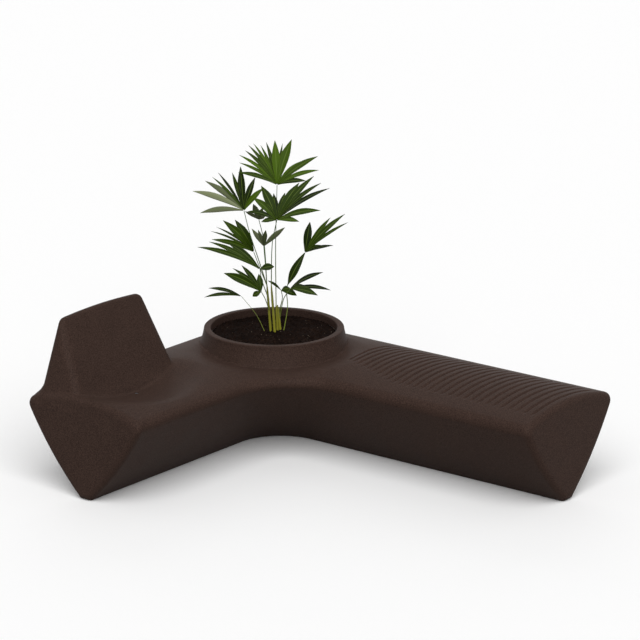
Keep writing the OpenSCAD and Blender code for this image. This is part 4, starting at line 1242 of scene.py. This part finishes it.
def planting_facts(scene):
    """Sizes of the planting with what follows from them, and the bench's."""
    sizes = scene.bench_planting
    p = SimpleNamespace(**{k: getattr(sizes, k) for k in PlantingSizes.__annotations__})
    b = bench_facts(scene.bench_sizes)
    p.soil_z = b.rim_z - p.soil_drop
    p.scale = p.palm_height / DRAWN_HEIGHT
    return p, b


def curved_path(points, step=0.006):
    """Smooth path through a few places, as closely spaced points."""
    pts = [Vector(q) for q in points]
    pts = [pts[0] + (pts[0] - pts[1])] + pts + [pts[-1] + (pts[-1] - pts[-2])]
    path = []
    for i in range(1, len(pts) - 2):
        a, b, c, d = pts[i - 1 : i + 3]
        n = max(2, int((c - b).length / step))
        m0 = (c - a) * ((c - b).length / ((c - b).length + (b - a).length))
        m1 = (d - b) * ((c - b).length / ((d - c).length + (c - b).length))
        for k in range(n):
            t = k / n
            path.append(
                (2 * t**3 - 3 * t**2 + 1) * b
                + (t**3 - 2 * t**2 + t) * m0
                + (-2 * t**3 + 3 * t**2) * c
                + (t**3 - t**2) * m1
            )
    return path + [pts[-2]]


class BENCH_OT_skin(bpy.types.Operator):
    """Builds the moulded skin with its grooves and openings"""

    bl_idname = "bench.skin"
    bl_label = "Moulded skin"

    def execute(self, context):
        scene = context.scene
        b = bench_facts(scene.bench_sizes)
        g, f, c = scene.bench_grooves, scene.bench_fittings, scene.bench_colours
        lines = skin_lines(b)
        field = lambda x, y, z: bench_field(x, y, z, b)
        values = field(lines[0][:, None, None], lines[1][None, :, None], lines[2][None, None, :])
        points, quads = surface_net(values, lines)
        points = settle(points, field, 3)
        for _ in range(2):
            points = settle(relax(points, quads, 0.5), field, 2)
        skin = new_piece("bench_skin", points, quads)
        lowest = b.seat_height - g.below_crown
        refine_seat(skin, g.start - g.width, b.ribbed_length - b.end_radius / 2, lowest)
        move_points(skin, lambda p: settle(p, field, 2))
        finish = moulded_polyethylene(c.skin_dark, c.skin_light)
        run_nodes(
            skin,
            groove_tree(),
            {
                "Count": float(g.count),
                "Start": g.start,
                "Pitch": g.pitch,
                "Growth": g.growth,
                "Depth": g.depth,
                "Width": g.width,
                "Reach": g.reach,
                "First reach": g.first_reach,
                "Reach step": g.step,
                "Fade": g.fade,
                "Middle": b.mid,
                "Lowest": lowest,
                "Finish": finish,
            },
        )
        cut_away(skin, new_piece("cutters", *gather(moulding_cutters(b, f))))
        cut_away(skin, new_piece("channel", *channel_box(b, f)))
        skin.data.materials.clear()
        skin.data.materials.append(finish)
        smooth_shading(skin)
        dress(skin, "bench", "shell", "bench_shell")
        return {"FINISHED"}


# Finishes of the pieces that keep their packed shapes
FITTINGS = {
    moulded_polypropylene: [
        "fill_neck",
        "fill_cap",
        "drain_bushes",
        "drain_plug_ribbed",
        "drain_plug_chair",
        "liner_strainer",
    ],
    moulded_rubber: [
        "fill_cap_seal",
        "drain_seal_ribbed",
        "drain_seal_chair",
        "well_drain_gasket",
        "well_drain_grommet",
        "seat_drain_rings",
        "liner_seat_strip",
    ],
    turned_brass: ["anchor_inserts"],
    extruded_pipe: ["well_drain_pipe", "seat_drain_tube"],
    formed_liner: ["planter_liner"],
    river_pebbles: ["drainage_pebbles"],
    needled_fleece: ["filter_fleece"],
}


class BENCH_OT_fittings(bpy.types.Operator):
    """Gives the fittings, pipes, seals and liner their finishes"""

    bl_idname = "bench.fittings"
    bl_label = "Fittings"

    def execute(self, context):
        for finish, names in FITTINGS.items():
            material = finish()
            for name in names:
                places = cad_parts[name].material_slots
                if not places:
                    raise RuntimeError(name + " has no material slot")
                for place in places:
                    place.material = material
        return {"FINISHED"}


def soil_shape(p, b, lowest):
    """Points and faces of the soil, from the fleece up to its uneven, slightly mounded top."""
    # Well's wall to the liner's inside, ledge to the liner's rim, and the rounding of the edge
    inwards, upwards, rounding = 0.006, 0.0073, 0.005
    # The waves add their own height, so the mound is drawn a little lower
    edge, high = b.well_r - p.soil_gap, 0.9 * p.soil_mound
    cone = (b.well_r - b.ledge_width - b.well_floor_radius) / (b.ledge_z - b.floor_z)
    liner = lambda z: b.well_floor_radius - inwards + cone * (z - b.floor_z)
    rim_z = b.ledge_z + upwards
    rings = [(0, lowest), (liner(lowest), lowest), (liner(rim_z), rim_z)]
    rings += [(edge, rim_z), (edge, p.soil_z - rounding)]
    steps, segments = 34, 120
    for i in range(1, steps):
        r = edge * (1 - i / steps)
        mound = high * (0.5 + 0.5 * math.cos(math.pi * r / edge))
        rings.append((r + 0.0005, p.soil_z + mound))
    rings.append((0, p.soil_z + high))
    points, faces = lathe(rings, segments)
    points = np.array(points)
    # Crossing waves that grow shorter and lower: radians for each metre along X and Y, and a start
    waves = [(41, 17, 0.3), (-23, 52, 1.9), (77, -61, 4.2), (118, 95, 0.8), (-151, 83, 2.6)]
    waves.append((210, -40, 5.1))
    rough = sum(
        math.exp(-0.35 * i) * np.sin(points[:, 0] * kx + points[:, 1] * ky + start)
        for i, (kx, ky, start) in enumerate(waves)
    )
    top = points[:, 2] > p.soil_z - 0.001
    points[:, 2] += np.where(top, p.soil_waves * rough, 0)
    return points, faces


def crumb_shape(name):
    """Small uneven stone of twenty faces, about 1 m in radius until it is scattered."""
    bm = bmesh.new()
    bmesh.ops.create_icosphere(bm, subdivisions=1, radius=1.0)
    for i, corner in enumerate(bm.verts):
        corner.co *= 0.7 + 0.5 * chance(i)
    mesh = bpy.data.meshes.new(name)
    bm.to_mesh(mesh)
    bm.free()
    return bpy.data.objects.new(name, mesh)


class BENCH_OT_soil(bpy.types.Operator):
    """Builds the soil with its crumbs"""

    bl_idname = "bench.soil"
    bl_label = "Soil"

    def execute(self, context):
        p, b = planting_facts(context.scene)
        soil = new_piece("soil_body", *soil_shape(p, b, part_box("potting_soil")[0].z))
        soil.data.materials.append(peat_soil())
        smooth_shading(soil, 60)
        scatter = scatter_tree()
        peat = loose_crumb("peat_crumb", "#0e0907", "#1f140f")
        perlite = loose_crumb("expanded_perlite", "#463b31", "#6a6054")
        # Number for each square metre, least and largest size as shares of a crumb, seed, finish
        kinds = {
            "soil_crumbs": (p.crumbs, 0.35, 1.0, p.seed, peat),
            "soil_flecks": (p.flecks, 0.3, 0.7, p.seed + 4, perlite),
        }
        for name, (density, least, most, seed, finish) in kinds.items():
            shape = crumb_shape(name + "_shape")
            crumbs = bpy.data.objects.new(name, soil.data.copy())
            context.scene.collection.objects.link(crumbs)
            given = {
                "Shape": shape,
                "Density": float(density),
                "Smallest": p.crumb * least,
                "Largest": p.crumb * most,
                "Seed": seed,
                "Lowest": p.soil_z - 0.002,
                "Finish": finish,
            }
            run_nodes(crumbs, scatter, given)
            bpy.data.objects.remove(shape)
            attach(crumbs, "planting")
        dress(soil, "planting", "soil", "potting_soil")
        return {"FINISHED"}


class BENCH_OT_stems(bpy.types.Operator):
    """Builds the palm's canes and stalks"""

    bl_idname = "bench.stems"
    bl_label = "Canes and stalks"

    def execute(self, context):
        p, _ = planting_facts(context.scene)
        c = context.scene.bench_colours
        place = palm_place(p)
        bases = {"cane": p.cane_radius, "stalk": p.stalk_radius, "shoot": p.shoot_radius}
        points, edges, radius, cane = [], [], [], []
        for kind, route in STEMS:
            route = [FRONDS[q][0] if isinstance(q, int) else q for q in route]
            path = curved_path([Vector(q) * p.scale for q in route])
            first, last = len(points), len(path) - 1
            for i, q in enumerate(path):
                up = i / last
                # A stalk thins evenly, and a cane ends in a blunt tip
                thinning = 1.05 - 0.35 * up
                if kind == "cane":
                    thinning = (1.0 - 0.18 * up) * (1.0 - 0.6 * up**8)
                points.append(tuple(place @ q))
                radius.append(bases[kind] * thinning)
                cane.append(float(kind == "cane"))
            edges += [(first + i, first + i + 1) for i in range(last)]
        mesh = bpy.data.meshes.new("palm_growth")
        mesh.from_pydata(points, edges, [])
        point_attribute(mesh, "radius", "FLOAT", radius)
        point_attribute(mesh, "cane", "FLOAT", cane)
        stems = bpy.data.objects.new("palm_growth", mesh)
        context.scene.collection.objects.link(stems)
        run_nodes(
            stems,
            stem_tree(),
            {
                "Node pitch": p.node_pitch,
                "Node swell": p.node_swell,
                "Cane finish": cane_skin("palm_cane_skin", c.cane_low, c.cane_high),
                "Stalk finish": cane_skin("palm_stalk_skin", c.stalk_low, c.stalk_high),
            },
        )
        dress(stems, "planting", "stem", "palm_stems")
        return {"FINISHED"}


class BENCH_OT_fronds(bpy.types.Operator):
    """Builds the palm's fronds"""

    bl_idname = "bench.fronds"
    bl_label = "Fronds"

    def execute(self, context):
        p, _ = planting_facts(context.scene)
        c = context.scene.bench_colours
        upper = leaf_skin("palm_leaf_upper_side", c.leaf_deep, c.leaf_bright, c.leaf_rib, 0.38)
        under = leaf_skin("palm_leaf_underside", c.under_deep, c.under_fresh, c.leaf_rib, 0.6)
        leaflet = unit_leaflet(p.fold, p.blade)
        tree = fan_tree()
        ground = palm_place(p)
        for k, (hub, (lean, turn), leaves) in enumerate(FRONDS):
            stand = Matrix.Rotation(math.radians(turn), 3, "Z")
            stand = ground.to_3x3() @ stand @ Matrix.Rotation(math.radians(-lean), 3, "X")
            middle = tuple(ground @ (Vector(hub) * p.scale))
            turns, sizes, bows, tones = [], [], [], []
            # Painted shade: the lower a frond stands, the darker its leaflets are drawn, as the
            # fronds above shade it
            painted_shade_by_height = 0.3 + 0.7 * (hub[2] / FRONDS[0][0][2]) ** 2
            for i, (angle, length, width) in enumerate(leaves):
                a = math.radians(angle)
                flip = (lean < 0) != (k in TURNED and angle < TURNED[k])
                roll = math.radians((180 if flip else 0) + ROLL * (chance(31 * k + i) - 0.5))
                local = stand @ Matrix.Rotation(a, 3, "Y") @ Matrix.Rotation(roll, 3, "Z")
                turns.append(tuple(local.to_euler("XYZ")))
                w = width * p.scale * WIDER
                sizes.append((w, w, length * p.scale))
                up = Vector((-math.cos(a), 0, math.sin(a))) * (1 if angle > 0 else -1)
                bow = up * abs(math.sin(a)) + Vector((0, -0.8, 0))
                bows.append(tuple(stand @ bow * (length * p.scale * p.arch)))
                # A leaflet's tone is chance times the painted shade of its frond's height
                tones.append((0.1 + 0.75 * chance(57 * k + 3 * i + 1)) * painted_shade_by_height)
            mesh = bpy.data.meshes.new("frond")
            mesh.from_pydata([middle] * len(leaves), [], [])
            point_attribute(mesh, "turn", "FLOAT_VECTOR", turns)
            point_attribute(mesh, "size", "FLOAT_VECTOR", sizes)
            point_attribute(mesh, "bow", "FLOAT_VECTOR", bows)
            point_attribute(mesh, "tone", "FLOAT", tones)
            frond = bpy.data.objects.new("frond_%d" % (k + 1), mesh)
            context.scene.collection.objects.link(frond)
            given = {"Leaflet": leaflet, "Upper finish": upper, "Under finish": under}
            run_nodes(frond, tree, given)
            dress(frond, "planting", "leaf", "palm_frond_%d" % (k + 1))
        bpy.data.objects.remove(leaflet)
        return {"FINISHED"}


def two_faced(owner, kind, thrown, seen, output):
    """Gives a material or a world one look for the light that it throws and another for the eye,
    reflections and glass."""
    owner.use_nodes = True
    tree = owner.node_tree
    tree.nodes.clear()
    path = add(tree, "ShaderNodeLightPath").outputs
    rays = {name: path[name] for name in ("Is Camera Ray", "Is Glossy Ray", "Is Transmission Ray")}
    looked_at = {
        "camera or glossy": ("MAXIMUM", "Is Camera Ray", "Is Glossy Ray"),
        "any": ("MAXIMUM", "camera or glossy", "Is Transmission Ray"),
    }
    mixed = {
        0: work_out(tree, MATH, rays, looked_at)["any"],
        1: add(tree, kind, thrown).outputs[0],
        2: add(tree, kind, seen).outputs[0],
    }
    add(tree, output, {"Surface": add(tree, "ShaderNodeMixShader", mixed).outputs[0]})


def soft_lamp(name, energy, rise, turn, spread):
    """A wide, far lamp that stands "rise" above the horizon and "turn" from +X, in degrees."""
    data = bpy.data.lights.new(name, "SUN")
    data.energy = energy
    data.angle = math.radians(spread)
    lamp = bpy.data.objects.new(name, data)
    rise, turn = math.radians(rise), math.radians(turn)
    flat = math.cos(rise)
    toward = Vector((flat * math.cos(turn), flat * math.sin(turn), math.sin(rise)))
    lamp.rotation_euler = toward.to_track_quat("Z", "Y").to_euler()
    bpy.context.scene.collection.objects.link(lamp)
    return lamp


class BENCH_OT_studio(bpy.types.Operator):
    """Sets the floor, the light and the camera"""

    bl_idname = "bench.studio"
    bl_label = "Studio"

    def execute(self, context):
        scene = context.scene
        s = scene.bench_studio
        # Just under the base, so that the two don't share a plane
        half, z = 60, -0.0004
        corners = [(-half, -half, z), (half, -half, z), (half, half, z), (-half, half, z)]
        floor = new_piece("floor", corners, [(0, 1, 2, 3)])
        # Painted floor: pale and matt to the eye, greyer to the light that it throws back
        paint = bpy.data.materials.new("painted_floor")
        floor.data.materials.append(paint)
        world = bpy.data.worlds.new("studio")
        scene.world = world
        surface, sky = "ShaderNodeBsdfDiffuse", "ShaderNodeBackground"
        thrown, seen = {"Color": s.bounce}, {"Color": s.floor}
        two_faced(paint, surface, thrown, seen, "ShaderNodeOutputMaterial")
        thrown, seen = {"Color": "#ffffff", "Strength": s.sky}, {"Color": "#ffffff"}
        two_faced(world, sky, thrown, seen, "ShaderNodeOutputWorld")
        soft_lamp("key_light", s.lamp, s.lamp_rise, s.lamp_turn, s.lamp_spread)
        fill = soft_lamp("fill_light", s.fill, s.fill_rise, s.lamp_turn + 180, s.lamp_spread)
        fill.visible_glossy = False
        data = bpy.data.cameras.new("camera")
        data.sensor_width = 36.0
        data.lens = s.lens
        data.clip_end = 200.0
        camera = bpy.data.objects.new("camera", data)
        camera.location = s.camera_place
        tilt, turn = math.radians(90 - s.camera_fall), math.radians(s.camera_turn)
        camera.rotation_euler = Euler((tilt, 0, turn))
        scene.collection.objects.link(camera)
        scene.camera = camera
        scene.view_settings.view_transform = "Standard"
        return {"FINISHED"}


class BENCH_PT_panel(bpy.types.Panel):
    """Lists the sizes, colours and steps"""

    bl_idname = "BENCH_PT_panel"
    bl_label = "Corner bench"
    bl_space_type = "VIEW_3D"
    bl_region_type = "UI"
    bl_category = "Bench"

    def draw(self, context):
        for step in STEPS:
            self.layout.operator(step.bl_idname)
        for group, kind in GROUPS.items():
            box = self.layout.box()
            box.label(text=kind.__doc__)
            for name in kind.__annotations__:
                box.prop(getattr(context.scene, group), name)


GROUPS = {
    "bench_sizes": BenchSizes,
    "bench_grooves": GrooveSizes,
    "bench_fittings": FittingSizes,
    "bench_planting": PlantingSizes,
    "bench_colours": FinishColours,
    "bench_studio": StudioSettings,
}
STEPS = (
    BENCH_OT_skin,
    BENCH_OT_fittings,
    BENCH_OT_soil,
    BENCH_OT_stems,
    BENCH_OT_fronds,
    BENCH_OT_studio,
)


def register():
    for kind in (*GROUPS.values(), *STEPS, BENCH_PT_panel):
        bpy.utils.register_class(kind)
    for name, kind in GROUPS.items():
        setattr(bpy.types.Scene, name, PointerProperty(type=kind))


def unregister():
    for name in GROUPS:
        delattr(bpy.types.Scene, name)
    for kind in (BENCH_PT_panel, *reversed(STEPS), *reversed(list(GROUPS.values()))):
        bpy.utils.unregister_class(kind)


def main():
    register()
    bpy.ops.bench.skin()
    bpy.ops.bench.fittings()
    bpy.ops.bench.soil()
    bpy.ops.bench.stems()
    bpy.ops.bench.fronds()
    bpy.ops.bench.studio()


if __name__ == "__main__":
    main()
